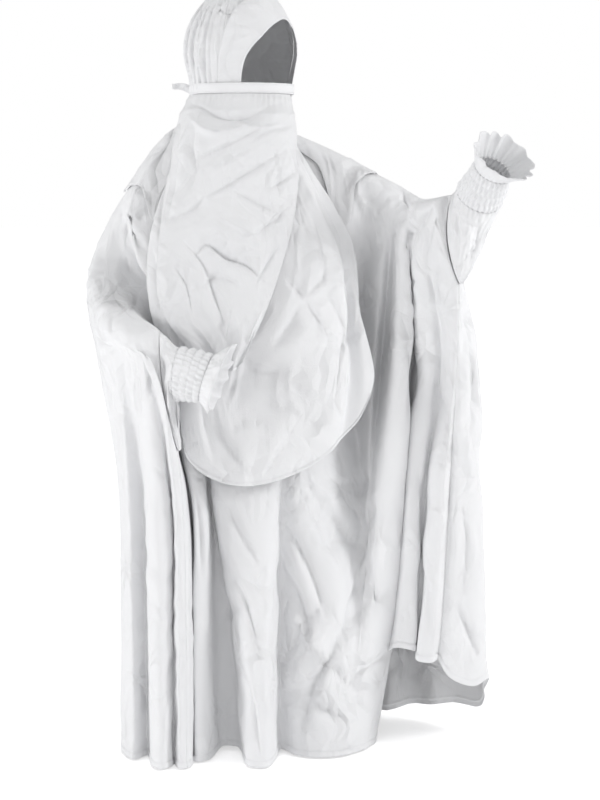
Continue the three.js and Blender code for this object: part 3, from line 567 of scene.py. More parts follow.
robeFrontCreases = [  # depth, width, then x and z along it
    (6, 7, -284, 1184, -225, 1193, -188, 1208), (4, 6, -279, 1180, -241, 1153),
    (6, 7, -297, 1140, -245, 1158, -200, 1112), (-6, 9, -314, 1040, -281, 996, -238, 966, -177, 944),
    (9, 9, -313, 931, -265, 913, -212, 939), (4, 7, -239, 1275, -214, 1253, -183, 1257),
    (5, 8, -263, 1097, -233, 1069, -193, 1053), (4, 7, -294, 1014, -264, 953, -217, 904),
    (6, 8, -278, 860, -244, 794, -240, 705), (4, 7, -239, 882, -195, 838, -174, 794),
    (4, 7, 351, 1270, 369, 1232, 356, 1177), (6, 6, 423, 1225, 395, 1193, 374, 1156, 363, 1119),
    (4, 7, 438, 1227, 413, 1162, 409, 1080), (4, 6, 464, 1244, 445, 1199, 448, 1123),
    (6, 6, 292, 385, 310, 347, 336, 363), (7, 10, 112, 616, 178, 527, 234, 403),
    (6, 9, 134, 639, 222, 527, 278, 437), (6, 9, 90, 527, 145, 437, 201, 301),
    (6, 9, 81, 437, 134, 347, 161, 233), (5, 8, 201, 347, 134, 301, 101, 211),
    (7, 10, 290, 347, 223, 256, 156, 142, 134, 28), (6, 8, 294, 437, 250, 347, 234, 256),
    (5, 8, 112, 142, 179, 119, 246, 85), (5, 7, 300, 572, 278, 504, 267, 426),
    (5, 8, 201, 233, 246, 165, 295, 142), (4, 8, 134, 504, 200, 471, 267, 471),
    (5, 8, 178, 616, 244, 594, 300, 616), (-5, 8, 101, 347, 156, 256, 246, 188),
    (4, 9, -32, 572, 12, 504, 50, 437), (4, 9, -26, 437, 18, 347, 49, 233),
    (4, 8, 0, 233, 33, 142, 49, 28), (3, 7, -26, 301, 1, 347, 63, 369),
    (5, 7, -246, 616, -220, 527, -216, 437), (4, 6, -193, 639, -176, 527, -170, 437),
    (4, 7, -252, 437, -233, 301, -209, 211), (4, 6, -245, 256, -224, 119, -209, 28),
    (3, 5, -96, 616, -81, 527, -77, 392), (2, 7, 392, 640, 404, 572, 398, 490),
    (4, 6, 430, 838, 453, 750, 445, 639), (4, 6, 364, 948, 380, 860, 372, 750),
    (4, 6, 400, 437, 418, 347, 424, 256),
]
robeBackFrontCreases = [  # depth, width, then x and z along it
    (4, 6, 487, 573, 505, 484, 495, 349), (4, 6, 497, 949, 515, 839, 508, 707),
    (5, 7, 478, 349, 512, 281, 534, 213), (4, 6, 490, 751, 521, 685, 531, 573),
]
robeBackCreases = [  # seen from behind: sweeps from the shoulders and folds that fall from them
    (6, 10, -260, 1140, -180, 1080, -110, 1040), (5, 9, -280, 1040, -220, 960, -180, 860),
    (7, 11, 330, 1200, 250, 1110, 190, 1060), (6, 9, 420, 1130, 360, 1000, 330, 880),
    (6, 12, -90, 900, -20, 820, 60, 800), (5, 9, 150, 860, 90, 780, 70, 690),
    (6, 11, -200, 700, -150, 620, -120, 500), (5, 10, 40, 600, 80, 500, 90, 380),
    (7, 12, 240, 760, 200, 640, 210, 500), (5, 9, -60, 480, -90, 380, -80, 260),
    (6, 10, 330, 620, 300, 480, 310, 340), (5, 8, 450, 820, 430, 660, 440, 500),
    (5, 10, -230, 420, -190, 320, -200, 200), (6, 12, 140, 340, 170, 240, 160, 140),
    (-5, 9, -20, 700, 30, 640, 50, 560), (5, 9, 0, 260, -30, 180, -20, 90),
    (4, 8, 260, 300, 240, 200, 250, 110), (-4, 9, 400, 460, 420, 340, 410, 220),
]
kFront = placesAlong(frontFolds, robe["spacing"])
kBack = placesAlong(backFolds, robe["backSpacing"])
frontPlain = robeGrid(frontFolds, backFolds, neckFront, neckBack, 1, kFront, robeDown)
backPlain = robeGrid(backFolds, frontFolds, neckBack, neckFront, -1, kBack, robeDown)
# the robe stays plain where the bib and the veil lie on it
midway = rampIn(-np.abs(frontPlain[..., 0] - 60), -190, -120)
frontUnder = 1 - midway * rampIn(frontPlain[..., 2], 700, 900)
frontRelief = robeRelief(frontPlain, robeFrontCreases, [], 11) * seamFade(kFront, robeDown, 28) * frontUnder
backRelief = robeRelief(backPlain, robeBackFrontCreases, robeBackCreases, 31) * seamFade(kBack, robeDown, 31)


def robeCloth(plain, relief):
    limited = np.clip(relief, robe["deepest"], robe["proudest"])
    return moved(plain, limited + hemRelief(plain, robe["hemTurn"]))


frontGrid, backGrid = robeCloth(frontPlain, frontRelief), robeCloth(backPlain, backRelief)
clothPiece("robe_front", frontGrid, poplin)
clothPiece("robe_back", backGrid, poplin)


def onRobe(grid, kGrid, k, v, lift, smooth=3):
    # points laid on the robe's own creased cloth, lifted off it
    normal = normalsOf(grid)
    for _ in range(smooth):
        normal[1:-1] = (normal[:-2] + normal[1:-1] * 2 + normal[2:]) / 4
    normal[:, 0] = (0, 0, 1)
    normal /= np.linalg.norm(normal, axis=-1, keepdims=True)
    i = np.interp(k, kGrid, np.arange(len(kGrid)))
    j = np.interp(v, robeDown, np.arange(len(robeDown)))
    i0, j0 = np.floor(i).astype(int), np.floor(j).astype(int)
    i1, j1 = np.minimum(i0 + 1, len(kGrid) - 1), np.minimum(j0 + 1, len(robeDown) - 1)
    fi, fj = (i - i0)[..., None], (j - j0)[..., None]

    def mix(values):
        return ((values[i0, j0] * (1 - fj) + values[i0, j1] * fj) * (1 - fi)
                + (values[i1, j0] * (1 - fj) + values[i1, j1] * fj) * fi)
    return mix(grid) + mix(normal) * np.asarray(lift)[..., None]


# the panels' inner and outer edges: place on the seam at the neck and at the foot, then length
shoulderPanels = {
    "left": {"inner": (5.35, 4.05, 2.55), "outer": (3.35, 3.62, 2.3), "bow": 1.6, "stand": 0.0},
    "right": {"inner": (8.65, 10.42, 2.42), "outer": (11.05, 10.62, 2.3), "bow": 2.4, "stand": 5.0},
}
panelSizes = {"across": 38, "down": 56, "wrinkle": (1.1, 51, 60, 110, 0.5), "flat": (0.16, 0.24)}
for side, panel in shoulderPanels.items():
    u, w = np.meshgrid(steps(panelSizes["across"] * fine), steps(panelSizes["down"] * fine), indexing="ij")
    inner, outer = panel["inner"], panel["outer"]
    innerSeam = inner[0] + (inner[1] - inner[0]) * w ** panel["bow"]
    seam = innerSeam * (1 - u) + (outer[0] + (outer[1] - outer[0]) * w) * u
    reach = (inner[2] * w * (1 - u) + outer[2] * w * u) / 6
    place = np.interp(seam, frontFolds[:, 0], np.arange(len(frontFolds)))
    lift = sizes["layerLift"] + panel["stand"] * rampIn(u, 0.4, 1) * w
    grid = onRobe(frontGrid, kFront, place, reach, lift)
    if inner[0] > outer[0]:
        grid = grid[::-1]
    high, *shape = panelSizes["wrinkle"]
    relief = wrinkles(grid[..., 0], grid[..., 2], *shape) * high
    relief *= rampIn(w, 0, 0.12) * rampIn(1 - w, 0, 0.1)
    clothPiece(f"shoulder_panel_{side}", moved(grid, relief), poplin)

cape = {
    "right": 11.05,  # place on the seam of each end
    "left": 3.35,
    "side": 0.7,  # length at the ends and in the middle
    "middle": 3.75,
    "round": 0.55,
    "across": 220,
    "down": 66,
    "stand": 6,
    "hemTurn": 10,
}
capeSeams = np.interp((cape["right"], cape["left"]), backFolds[::-1, 0], np.arange(31))
kCape = steps(cape["across"] * fine, *(30 - capeSeams))
capeSpan = steps(len(kCape))
capeHang = cape["side"] + (cape["middle"] - cape["side"]) * np.sin(np.pi * capeSpan) ** cape["round"]
place, w = np.meshgrid(kCape, rowsDown(cape["down"], 0.04), indexing="ij")
capeStand = np.sin(np.pi * capeSpan)[:, None] ** 0.3  # it lies closer at the arms
capeGrid = onRobe(backPlain, kBack, place, capeHang[:, None] * w ** 1.15 / 6,
                  sizes["layerLift"] + cape["stand"] * w * capeStand, 12)
capeCreases = [  # sweeps from each shoulder toward the middle of the back
    (6, 9, -200, 1300, -110, 1190, -30, 1140), (5, 8, -230, 1200, -160, 1090, -90, 1010),
    (6, 9, 210, 1290, 130, 1180, 60, 1120), (5, 8, 260, 1200, 200, 1080, 130, 990),
    (-5, 8, -60, 1330, -40, 1230, -50, 1120), (5, 9, 40, 1320, 30, 1210, 50, 1090),
    (6, 10, -80, 960, 0, 900, 90, 890), (4, 7, 140, 960, 110, 880, 120, 800),
    (5, 9, -140, 940, -120, 850, -130, 780), (-4, 8, 0, 1050, 30, 960, 20, 860),
]
relief = robeRelief(capeGrid, [], capeCreases, 71)
relief *= rampIn(w, 0, 0.12) * rampIn(capeSpan, 0, 0.06)[:, None] * rampIn(1 - capeSpan, 0, 0.06)[:, None]
capeGrid = moved(capeGrid, np.clip(relief, -1.5 - 4 * w, 9) + hemRelief(capeGrid, cape["hemTurn"]))
clothPiece("cape_back", capeGrid, poplin)
print("robe and cape done")


bibFolds = np.array([  # seam, plan at neck, chest, waist and belly, end on the round hem
    [5.45, -150, -84, -196, -138, -196, -152, -146, -184, -118, -216, 700],
    [5.7, -128, -104, -168, -150, -168, -172, -128, -202, -106, -224, 668],
    [6.1, -88, -124, -110, -166, -112, -186, -92, -212, -73, -232, 640],
    [6.5, -40, -134, -52, -170, -54, -188, -44, -210, -30, -240, 622],
    [7.0, 12, -137, 10, -172, 8, -186, 4, -206, 6, -244, 617],
    [7.3, 48, -134, 58, -170, 60, -184, 50, -210, 42, -238, 618],
    [7.6, 78, -128, 100, -168, 108, -186, 108, -216, 92, -238, 630],
    [7.95, 104, -118, 150, -162, 162, -186, 172, -210, 152, -228, 655],
    [8.2, 130, -104, 212, -150, 238, -168, 234, -186, 206, -214, 693],
    [8.35, 136, -92, 216, -118, 240, -132, 242, -148, 228, -190, 716],
    [8.5, 146, -84, 234, -98, 256, -134, 274, -156, 262, -178, 752],
    [8.62, 152, -76, 250, -92, 264, -130, 297, -150, 288, -164, 802],
], float)


def planPoints(fold, heights):
    # x and y at each height, then the end's own point
    flat = zip(fold[1::2], fold[2::2], heights)
    return [*(vec(*point) for point in flat), vec(*fold[-3:])]


def bibLine(fold, v):
    top = seamPoint(neckFront, fold[:1])[0] + vec(0, 0, sizes["layerLift"])
    out = seamOut(neckFront, fold[:1])[0]
    bend = sizes["armRound"]
    points = [top, top + out * (bend * 0.74 + 5) + vec(0, 0, 3 - bend * 0.3),
              top + out * (bend + 9) + vec(0, 0, 2 - bend), *planPoints(fold, bib["heights"])]
    return curveAt(points, v)


def hungGrid(lines, across):
    # lines (folds, rows, 3), joined by one curve along each row
    t = steps(across)
    return np.stack([curveAt(lines[:, j], t) for j in range(lines.shape[1])], 1)


bibCreases = [  # depth, width, then x and z along it
    (7, 10, -55, 769, -29, 714, 25, 637),
    (6, 5, 134, 1322, 177, 1243, 220, 1158, 235, 1061, 240, 921, 210, 801),
    (5, 6, 145, 1018, 102, 1061), (5, 6, 145, 1018, 199, 1072), (5, 6, 145, 1018, 188, 953),
    (6, 7, 145, 1018, 102, 953, 69, 910), (-4, 6, 145, 1018, 160, 1100),
    (-4, 9, 112, 845, 177, 812, 246, 845), (5, 9, 37, 801, 112, 780, 199, 736),
    (5, 8, -83, 801, -72, 736, -51, 670), (5, 8, 4, 888, 52, 862, 112, 871),
    (5, 8, 155, 1211, 181, 1126, 190, 1018), (5, 7, -188, 1126, -172, 1050, -177, 953),
    (4, 6, -148, 1339, -166, 1254, -175, 1147), (-3, 5, 252, 1126, 259, 1018, 246, 910),
    (5, 8, 134, 736, 91, 692, 51, 631), (4, 6, 274, 953, 220, 910, 177, 906),
    (4, 7, -28, 801, 4, 845, 52, 834), (4, 6, 199, 1018, 231, 953, 220, 867),
    (4, 7, -18, 736, 26, 758, 80, 725), (3, 6, -157, 953, -103, 921, -71, 856),
]
bib = {
    "across": 192,
    "down": 138,
    "heights": (1310, 1136, 1000, 850),
    "wrinkle": (2.2, 101, 70, 170, 0.4),  # height, seed, breadth, length, lean
    "fineWrinkle": (1.0, 111, 33, 70, -0.7),
    "crease": 1.8,
    "hemTurn": 8,
}
bibDown = rowsDown(bib["down"] - 10, 0.02)
bibGrid = hungGrid(np.array([bibLine(fold, bibDown) for fold in bibFolds]), bib["across"] * fine)
bx, bz = bibGrid[..., 0], bibGrid[..., 2]
relief = twoWrinkles(spreadOf(bibGrid), bz, bib["wrinkle"], bib["fineWrinkle"])
relief *= 0.35 + 0.75 * rampIn(softNoise(bx / 150, bz / 170, 104), 0.3, 0.75)
relief += creaseField(bx, bz, bibCreases, 7, bib["crease"])
relief *= rampIn(bibDown, 0.04, 0.2)[None, :]
bibGrid = moved(bibGrid, relief + hemRelief(bibGrid, bib["hemTurn"]))
clothPiece("bib", bibGrid, poplin)

veilFolds = np.array([  # place on the band, plan at five heights, end
    [-178, -138, -52, -151, -104, -165, -144, -176, -170, -168, -188, -90, -232, 893],
    [-146, -114, -104, -124, -140, -137, -164, -148, -184, -142, -204, -72, -240, 880],
    [-122, -77, -136, -86, -157, -96, -177, -106, -194, -102, -213, -56, -232, 872],
    [-101, -30, -152, -36, -170, -43, -186, -53, -201, -57, -217, -38, -244, 868],
    [-78, 24, -158, 18, -177, 10, -190, 0, -205, -13, -219, -24, -234, 866],
    [-58, 68, -156, 62, -172, 50, -187, 38, -204, 22, -218, -10, -244, 868],
    [-40, 102, -128, 100, -156, 88, -182, 69, -200, 43, -214, 0, -232, 872],
    [-22, 125, -92, 131, -130, 122, -168, 97, -192, 63, -209, 8, -238, 880],
], float)


def azimuth(degrees, radius, z):
    a = np.radians(degrees)
    return np.stack(np.broadcast_arrays(4 + radius * np.cos(a), radius * np.sin(a), z), -1)


def veilLine(fold, v):
    top = azimuth(fold[0], sizes["bandRadius"], sizes["bandBottom"] - 0.3)
    return curveAt([top, *planPoints(fold, veil["heights"])], v)


veilCreases = [  # depth, width, then x and z along it
    (8, 10, -92, 1440, -24, 1410, 26, 1418, 73, 1440),
    (-7, 9, -110, 1410, -57, 1378, -7, 1384, 26, 1402), (6, 8, -100, 1318, -2, 1361, 69, 1400),
    (5, 7, 106, 1372, 121, 1335, 127, 1292), (-4, 7, -39, 1428, 26, 1392, 102, 1395),
    (6, 8, -70, 1239, -5, 1275, 70, 1318, 113, 1343), (5, 7, -167, 1190, -102, 1211, -70, 1239),
    (10, 8, -92, 1115, -70, 1136, -28, 1108, 16, 1093, 52, 1061), (4, 6, -149, 1247, -106, 1286),
    (4, 7, -16, 1254, 91, 1200), (4, 6, 5, 1147, 65, 1179, 113, 1222),
    (5, 8, -124, 1147, -81, 1099, -49, 1018, -22, 953), (-6, 6, 52, 996, 30, 953, 4, 905),
    (-5, 6, -13, 996, -26, 935), (4, 7, -131, 1339, -145, 1264, -154, 1190),
    (-4, 7, -49, 1200, 5, 1172, 52, 1151), (4, 8, -90, 1424, -101, 1360, -89, 1296),
    (4, 7, 27, 1360, 70, 1381, 117, 1392), (5, 7, -82, 1039, -49, 1071, 5, 1050),
    (4, 5, 65, 1254, 102, 1275, 125, 1292), (4, 7, 37, 1050, 65, 1099, 91, 1136),
    (3.5, 6, -142, 1093, -114, 1050, -99, 985),
]
veil = {
    "across": 168,
    "down": 164,
    "heights": (1400, 1300, 1200, 1100, 1000),
    "wrinkle": (1.6, 121, 64, 120, 0.7),
    "fineWrinkle": (0.6, 131, 30, 60, -0.9),
    "crease": 2.3,
    "gathers": 19,  # under the band
    "gather": 1.3,
    "hemTurn": 7,
}
veilDown = rowsDown(veil["down"] - 8, 0.02)
veilGrid = hungGrid(np.array([veilLine(fold, veilDown) for fold in veilFolds]), veil["across"] * fine)
vx, vz = veilGrid[..., 0], veilGrid[..., 2]
relief = twoWrinkles(spreadOf(veilGrid), vz, veil["wrinkle"], veil["fineWrinkle"])
relief += creaseField(vx, vz, veilCreases, 9, veil["crease"])
turnOfVeil = steps(veilGrid.shape[0])[:, None] * 2 * np.pi
gathered = np.exp(-veilDown[None, :] / 0.05)
relief += veil["gather"] * np.cos(turnOfVeil * veil["gathers"] + 2 * np.sin(turnOfVeil * 3)) * gathered
relief *= rampIn(veilDown, 0.0, 0.03)[None, :]
veilGrid = moved(veilGrid, relief + hemRelief(veilGrid, veil["hemTurn"]))
clothPiece("veil", veilGrid, lightPoplinPaintedShade)

# the veil's band, closed round the hood, with a rolled edge
turn = steps(240 * fine + 1, 0, 360)[:-1]
angle, w = np.meshgrid(turn, steps(9 * fine + 3), indexing="ij")
bandHeight = sizes["bandTop"] + (sizes["bandBottom"] - sizes["bandTop"]) * w
pucker = wrinkles(angle * 2.1, bandHeight * 2, 141, 17, 60, 0) * 0.5 * np.sin(np.pi * w)
edgeRoll = -1.0 * (2 * w - 1) ** 6
bandGrid = azimuth(angle, sizes["bandRadius"] + 0.5 + pucker + edgeRoll, bandHeight)
clothPiece("veil_band", bandGrid, trimPoplin,
           wrap=True)

knot = {"angle": 150, "out": 9, "along": 14, "up": 12, "turns": 3}
around, w = np.meshgrid(steps(90 * fine + 1)[:-1] * 2 * np.pi, steps(60 * fine), indexing="ij")
rise = np.pi * w
wrapLine = 1 + 0.07 * np.sin(knot["turns"] * rise * 2 + around * 2) + 0.04 * np.cos(around * 5 + rise * 3)
local = np.stack([knot["out"] * np.cos(around) * np.sin(rise),
                  knot["along"] * np.sin(around) * np.sin(rise),
                  knot["up"] * np.cos(rise)], -1) * wrapLine[..., None]
a = math.radians(knot["angle"])
spin = np.array([[math.cos(a), -math.sin(a), 0], [math.sin(a), math.cos(a), 0], [0, 0, 1]])
middle = azimuth(knot["angle"], sizes["bandRadius"] + 0.3 + knot["out"],
                 (sizes["bandTop"] + sizes["bandBottom"]) / 2)
knotMesh = meshFrom("veil_knot", local @ spin.T + middle, True)
knotMesh.materials.append(trimPoplin)
placed("veil_knot_cloth", knotMesh, "veil_knot")

ties = {
    "veil_tie_short": {"path": [(-113.4, 67.8, 1476), (-134, 74, 1484), (-156, 76, 1484)], "breadth": 20,
                       "end": 12, "across": vec(0, 0.2, 0.98), "flat": (0.021, 0.047)},
    "veil_tie_long": {"path": [(-106, 64, 1461.9), (-115, 82, 1430), (-120, 98, 1392), (-124, 108, 1352)],
                      "breadth": 16, "end": 20, "across": vec(0.85, 0.52, 0), "flat": (0.022, 0.13)},
}
for name, tie in ties.items():
    down = steps(34 * fine + 6)
    line = curveAt(tie["path"], down)
    u = steps(5 * fine + 5)
    half = (tie["breadth"] + (tie["end"] - tie["breadth"]) * down) / 2
    grid = line[None] + tie["across"] * ((2 * u - 1)[:, None] * half[None, :])[..., None]
    ripple = 1.1 * np.sin(down * 7)[None, :] * np.cos(u * 5)[:, None] * rampIn(down, 0, 0.2)[None, :]
    clothPiece(name, moved(grid, ripple), trimPoplin)
print("bib and veil done")

# the hood's foot follows the neck seam
loop = [(-90, 10, 1415), *neckFront, (88, 10, 1388), *reversed(neckBack)]
ring = np.array([loop[-1], *loop, loop[0], loop[1]], float)
loopAt = steps(241) * len(loop)
loopFrom = np.clip(np.floor(loopAt).astype(int), 0, len(loop) - 1)
neckRing = spanPoint(ring[loopFrom], ring[loopFrom + 1], ring[loopFrom + 2], ring[loopFrom + 3],
                     loopAt - loopFrom)
neckAngle = np.degrees(np.arctan2(neckRing[:, 1], neckRing[:, 0] - 4)) % 360
order = np.argsort(neckAngle)
neckAngle, neckRing = neckAngle[order], neckRing[order]

hood = {
    "sections": np.array([[1440, 104], [1463, 108.5], [1486, 112.4], [1520, 119], [1550, 124], [1578, 123],
                          [1605, 117], [1630, 106], [1652, 93], [1672, 78], [1686, 58], [1695, 35],
                          [1700, 0]], float),
    "gatherFrom": 180,
    "gatherTo": 238,
    "gatherDepth": 3.2,
    "wrinkle": 1.5,
    "band": (200, 23),  # mesh round and across
    "crown": (264, 66),
    "pleats": 22,
    "pleatRise": 4.6,
    "pleatDepth": 9.0,
}


def neckHeight(degrees):
    return np.interp(degrees % 360, neckAngle, neckRing[:, 2]) + sizes["layerLift"]


def hoodPoint(degrees, z):
    at = degrees % 360
    neckRadius = np.interp(at, neckAngle, np.hypot(neckRing[:, 0] - 4, neckRing[:, 1])) + 3
    t = np.clip((z - neckHeight(at)) / (1486 - neckHeight(at)), 0, 1)
    radius = np.interp(z, hood["sections"][:, 0], hood["sections"][:, 1])
    radius = np.where(z < 1486, neckRadius + (112.4 - neckRadius) * t * (2 - t), radius)
    inside = np.clip((at - hood["gatherFrom"]) / 12, 0, 1) * np.clip((hood["gatherTo"] - at) / 12, 0, 1)
    height = np.clip((z - 1492) / 40, 0, 1) * np.clip((1700 - z) / 70, 0, 1)
    phase = (at - hood["gatherFrom"]) / 7.25 * np.pi
    wave = np.cos(phase) + 0.35 * np.cos(2 * phase + 1.1 * np.sin(z / 60))
    return azimuth(degrees, radius + hood["gatherDepth"] * inside * height * wave, z)


faceBand = np.array([  # inner angle and height at the opening, outer at the crown's seam; 0 is the neck
    [-89, 1462, -117, 1440], [-89, 1490, -116, 1480], [-87, 1520, -114.5, 1520], [-83, 1545, -112, 1550],
    [-76, 1566, -109, 1580], [-67, 1585, -104, 1618], [-56, 1605, -93, 1655], [-44, 1618, -66, 1681],
    [-30, 1626, -30, 1684], [-17, 1622, 0, 1660], [-7, 1602, 14, 1620], [-2, 1572, 19, 1580],
    [0, 1540, 22, 1550], [1, 1512, 24, 1520], [2, 1486, 25.5, 1480], [0, 1460, 26, 1440], [-8, 1446, 24, 0],
    [-24, 1438, -12, 0], [-45, 1436, -45, 0], [-66, 1440, -80, 0], [-82, 1449, -114, 0],
], float)


def closedRows(rows, count):
    # smooth closed reading of a table, its rows in a ring
    ends = np.concatenate([rows[-1:], rows, rows[:2]])
    at = np.arange(count) / count * len(rows)
    k = np.floor(at).astype(int)
    t = (at - k)[:, None]
    p0, p1, p2, p3 = (ends[k + i] for i in range(4))
    return 0.5 * ((2 * p1) + (p2 - p0) * t + (2 * p0 - 5 * p1 + 4 * p2 - p3) * t ** 2
                  + (3 * p1 - p0 - 3 * p2 + p3) * t ** 3)


faceRows = faceBand.copy()
low = faceRows[:, 3] == 0
faceRows[low, 3] = neckHeight(faceRows[low, 2])
hoodCreases = [  # depth, width, then x and z along it
    (3, 5, -7, 1602, -20, 1558, -29, 1515), (3, 6, -52, 1649, -24, 1636, 2, 1641),
    (-2.5, 6, -85, 1636, -59, 1645, -28, 1658), (2.5, 5, 24, 1471, 50, 1485, 72, 1476),
    (3, 6, -24, 1623, 15, 1610, 51, 1623), (2.5, 5, -33, 1532, -20, 1498, -7, 1471),
]
faceRing = closedRows(faceRows, int(hood["band"][0] * fine))
w = steps(hood["band"][1] * fine + 3, 0.0, 1)[None, :]
angle = faceRing[:, 2:3] + (faceRing[:, 0:1] - faceRing[:, 2:3]) * w
height = faceRing[:, 3:4] + (faceRing[:, 1:2] - faceRing[:, 3:4]) * w
faceGrid = hoodPoint(angle, height)
relief = creaseField(faceGrid[..., 0], faceGrid[..., 2], hoodCreases, 3) * 0.8
relief += wrinkles(faceGrid[..., 0], faceGrid[..., 2], 151, 40, 60, 0.6) * 0.9
relief *= rampIn(w, 0, 0.25) * rampIn(1 - w, 0, 0.2)
relief += 1.4 * rampIn(0.16 - w, 0, 0.12) * (height > 1500)  # its folded edge stands over the crown
faceGrid = moved(faceGrid, relief, True)
clothPiece("hood_face_band", faceGrid, lightPoplinPaintedShade,
           wrap=True)

crownEdge = np.array([  # the crown's foot: angle, then height, or 0 on the neck
    [-117.8, 0], [-117.3, 1440], [-116.3, 1480], [-114.8, 1520], [-112.3, 1550], [-109.2, 1580],
    [-104, 1618], [-93, 1655], [-66, 1681], [-30, 1684], [0, 1660], [14, 1620], [19.2, 1580],
    [22.3, 1550], [24.3, 1520], [25.8, 1480], [26.3, 1440], [26.8, 0],
], float)
rest = np.concatenate([steps(13, 26.8, 173)[1:], steps(10, 180, 238)])
columns = np.concatenate([crownEdge, np.stack([rest, np.zeros(len(rest))], -1)])
onNeck = columns[:, 1] == 0
columns[onNeck, 1] = neckHeight(columns[onNeck, 0])
around = np.concatenate([columns, [[242.2, columns[0, 1]]]])
at = steps(hood["crown"][0] * fine + 1, 0, len(around) - 1)[:-1]
angle = np.interp(at, np.arange(len(around)), around[:, 0])[:, None]
foot = np.interp(at, np.arange(len(around)), around[:, 1])[:, None] + 0.3
w = steps(hood["crown"][1] * fine)[None, :]
height = foot + (sizes["crown"] - foot) * np.cos(w * np.pi / 2)
crownGrid = hoodPoint(angle, height)
cx, cy, cz = np.moveaxis(crownGrid, -1, 0)
relief = wrinkles(np.radians(angle) * 110 + 0 * cz, cz, 161, 44, 150, 0.5) * hood["wrinkle"]
relief += creaseField(cx, cz, hoodCreases, 4) * (cy < 0)
nape = np.exp(-((cz - 1480) / 40) ** 2) * (cy > -20)
relief += 2.2 * np.cos(np.radians(angle) * 17 + np.sin(cz / 30)) * nape
turnIn = angle % 360  # deep gathers at the side of the head, drawn in under the veil's band
drawn = rampIn(turnIn, 150, 182) * rampIn(-turnIn, -243, -226) * rampIn(-cz, -1690, -1600) * (cz > 1440)
across = np.radians(turnIn)
pleat = np.abs(np.sin(across * hood["pleats"] + 0.9 * np.sin(cz / 70) + 0.5 * np.sin(across * 9)))
relief += (hood["pleatRise"] - hood["pleatDepth"] * (1 - pleat) ** 1.7) * drawn
relief *= rampIn(w, 0, 0.2) * rampIn(1 - w, 0, 0.04)
crownGrid = moved(crownGrid, relief, True)
clothPiece("hood_crown", crownGrid, lightPoplinPaintedShade,
           wrap=True, pole=True)
print("hood done")

# each slit's sleeve, smocked cuff and ruffle; a ring is centre, axis, half height, half width
armEnds = {
    "left": {
        "slit": slits["left"], "top": seamPoint(neckFront, [0.0])[0], "turn": 1, "way": vec(0.89, -0.45, 0),
        "rings": [(vec(-128, -290, 866), vec(0.96, -0.24, -0.1), 55, 36),
                  (vec(-64, -304, 858), vec(0.92, -0.2, -0.3), 51, 33),
                  (vec(-32, -310, 858), vec(0.92, -0.2, -0.34), 76, 52)],
    },
    "right": {
        "slit": slits["right"], "top": seamPoint(neckFront, [14.0])[0], "turn": -1, "way": vec(0.5, -0.86, 0),
        "rings": [(vec(520, -180, 1238), vec(0.3, -0.6, 0.74), 50, 50),
                  (vec(545, -228, 1296), vec(0.36, -0.6, 0.71), 40, 42),
                  (vec(566, -258, 1326), vec(0.42, -0.6, 0.68), 68, 70)],
    },
}
smocking = {
    "rows": 4,  # puffed rows between the elastic lines
    "gathers": 27,
    "puff": 0.06,
    "ridge": 0.05,
    "pinch": 0.012,
    "waves": 11,  # main waves of the ruffle
    "flare": 0.085,
    "ahead": 1.2,
    "curl": 1.2,
    "fineWave": 0.035,
    "edge": 0.01,
    "sag": 6,
    "around": 240,
    "cuffRows": 33,
    "ruffleRows": 18,
    "cuffFlat": (0.42, 0.085),
    "ruffleFlat": (0.6, 0.045),
}


def unit(v):
    return v / np.maximum(1e-9, np.linalg.norm(v, axis=-1, keepdims=True))


def dot(a, b):
    return np.sum(a * b, -1, keepdims=True)


def ringPoint(end, ring, psi, stretch=1.0, ahead=0.0):
    centre, axis, up, side = ring
    axis = unit(axis)
    slope = end["top"] - end["slit"]["tip"]
    upWay = unit(slope - dot(slope, axis) * axis)
    sideWay = np.cross(axis, upWay) * -end["turn"]
    sideWay = np.where(dot(sideWay, end["slit"]["across"]) < 0, -sideWay, sideWay)
    return (centre + upWay * (up * stretch * np.cos(psi))[..., None]
            + sideWay * (side * stretch * np.sin(psi))[..., None] + axis * np.asarray(ahead)[..., None])


def ringBetween(end, first, t):
    a, b = end["rings"][first], end["rings"][first + 1]
    t3 = t[..., None]
    return (a[0] + (b[0] - a[0]) * t3, a[1] + (b[1] - a[1]) * t3, a[2] + (b[2] - a[2]) * t,
            a[3] + (b[3] - a[3]) * t)


def sleevePoint(end, psi, w):
    h = (1 - np.cos(psi)) / 2
    side = np.where(np.sin(psi) < 0, -1.0, 1.0)
    start = slitEdge(end["slit"], end["top"], side[..., None], h)
    base = end["rings"][0]
    close = ringPoint(end, (base[0], np.broadcast_to(base[1], psi.shape + (3,)), base[2], base[3]), psi)
    reach = np.linalg.norm(start - close, axis=-1, keepdims=True) * 0.7
    w3 = w[..., None]
    share = 2 * w3 ** 3 - 3 * w3 ** 2 + 1
    point = start * share + close * (1 - share) + end["way"] * reach * (w3 ** 3 - 2 * w3 ** 2 + w3)
    point = point + base[1] * reach * (w3 ** 3 - w3 ** 2)
    point[..., 2] -= smocking["sag"] * np.sin(np.pi * w) * np.maximum(0, -np.cos(psi))
    return point


def cuffPoint(end, psi, t):
    # elastic lines pinch the cuff, and slanting gathers stand between them
    puff = np.abs(np.sin(np.pi * smocking["rows"] * t)) ** 0.75
    row = np.floor(t * smocking["rows"] - 1e-6)
    drift = 0.8 * np.sin(psi * 2 + row) + 1.7 * np.sin(row * 2.3) + 1.4 * (t * smocking["rows"] - row)
    ridge = np.cos(smocking["gathers"] * psi + drift)
    uneven = 0.65 + 0.7 * softNoise(psi * 3 + 20, row * 3 + 5, 171)
    fold = 1 - np.abs(ridge) ** 0.7 * np.sign(-ridge)
    stretch = 1 + smocking["puff"] * puff * (0.8 + 0.3 * np.sin(psi * 3 + row))
    stretch = stretch + smocking["ridge"] * puff * uneven * (fold - 1)
    stretch = stretch + smocking["pinch"] * ridge * (1 - puff)
    return ringPoint(end, ringBetween(end, 0, t), psi, stretch)


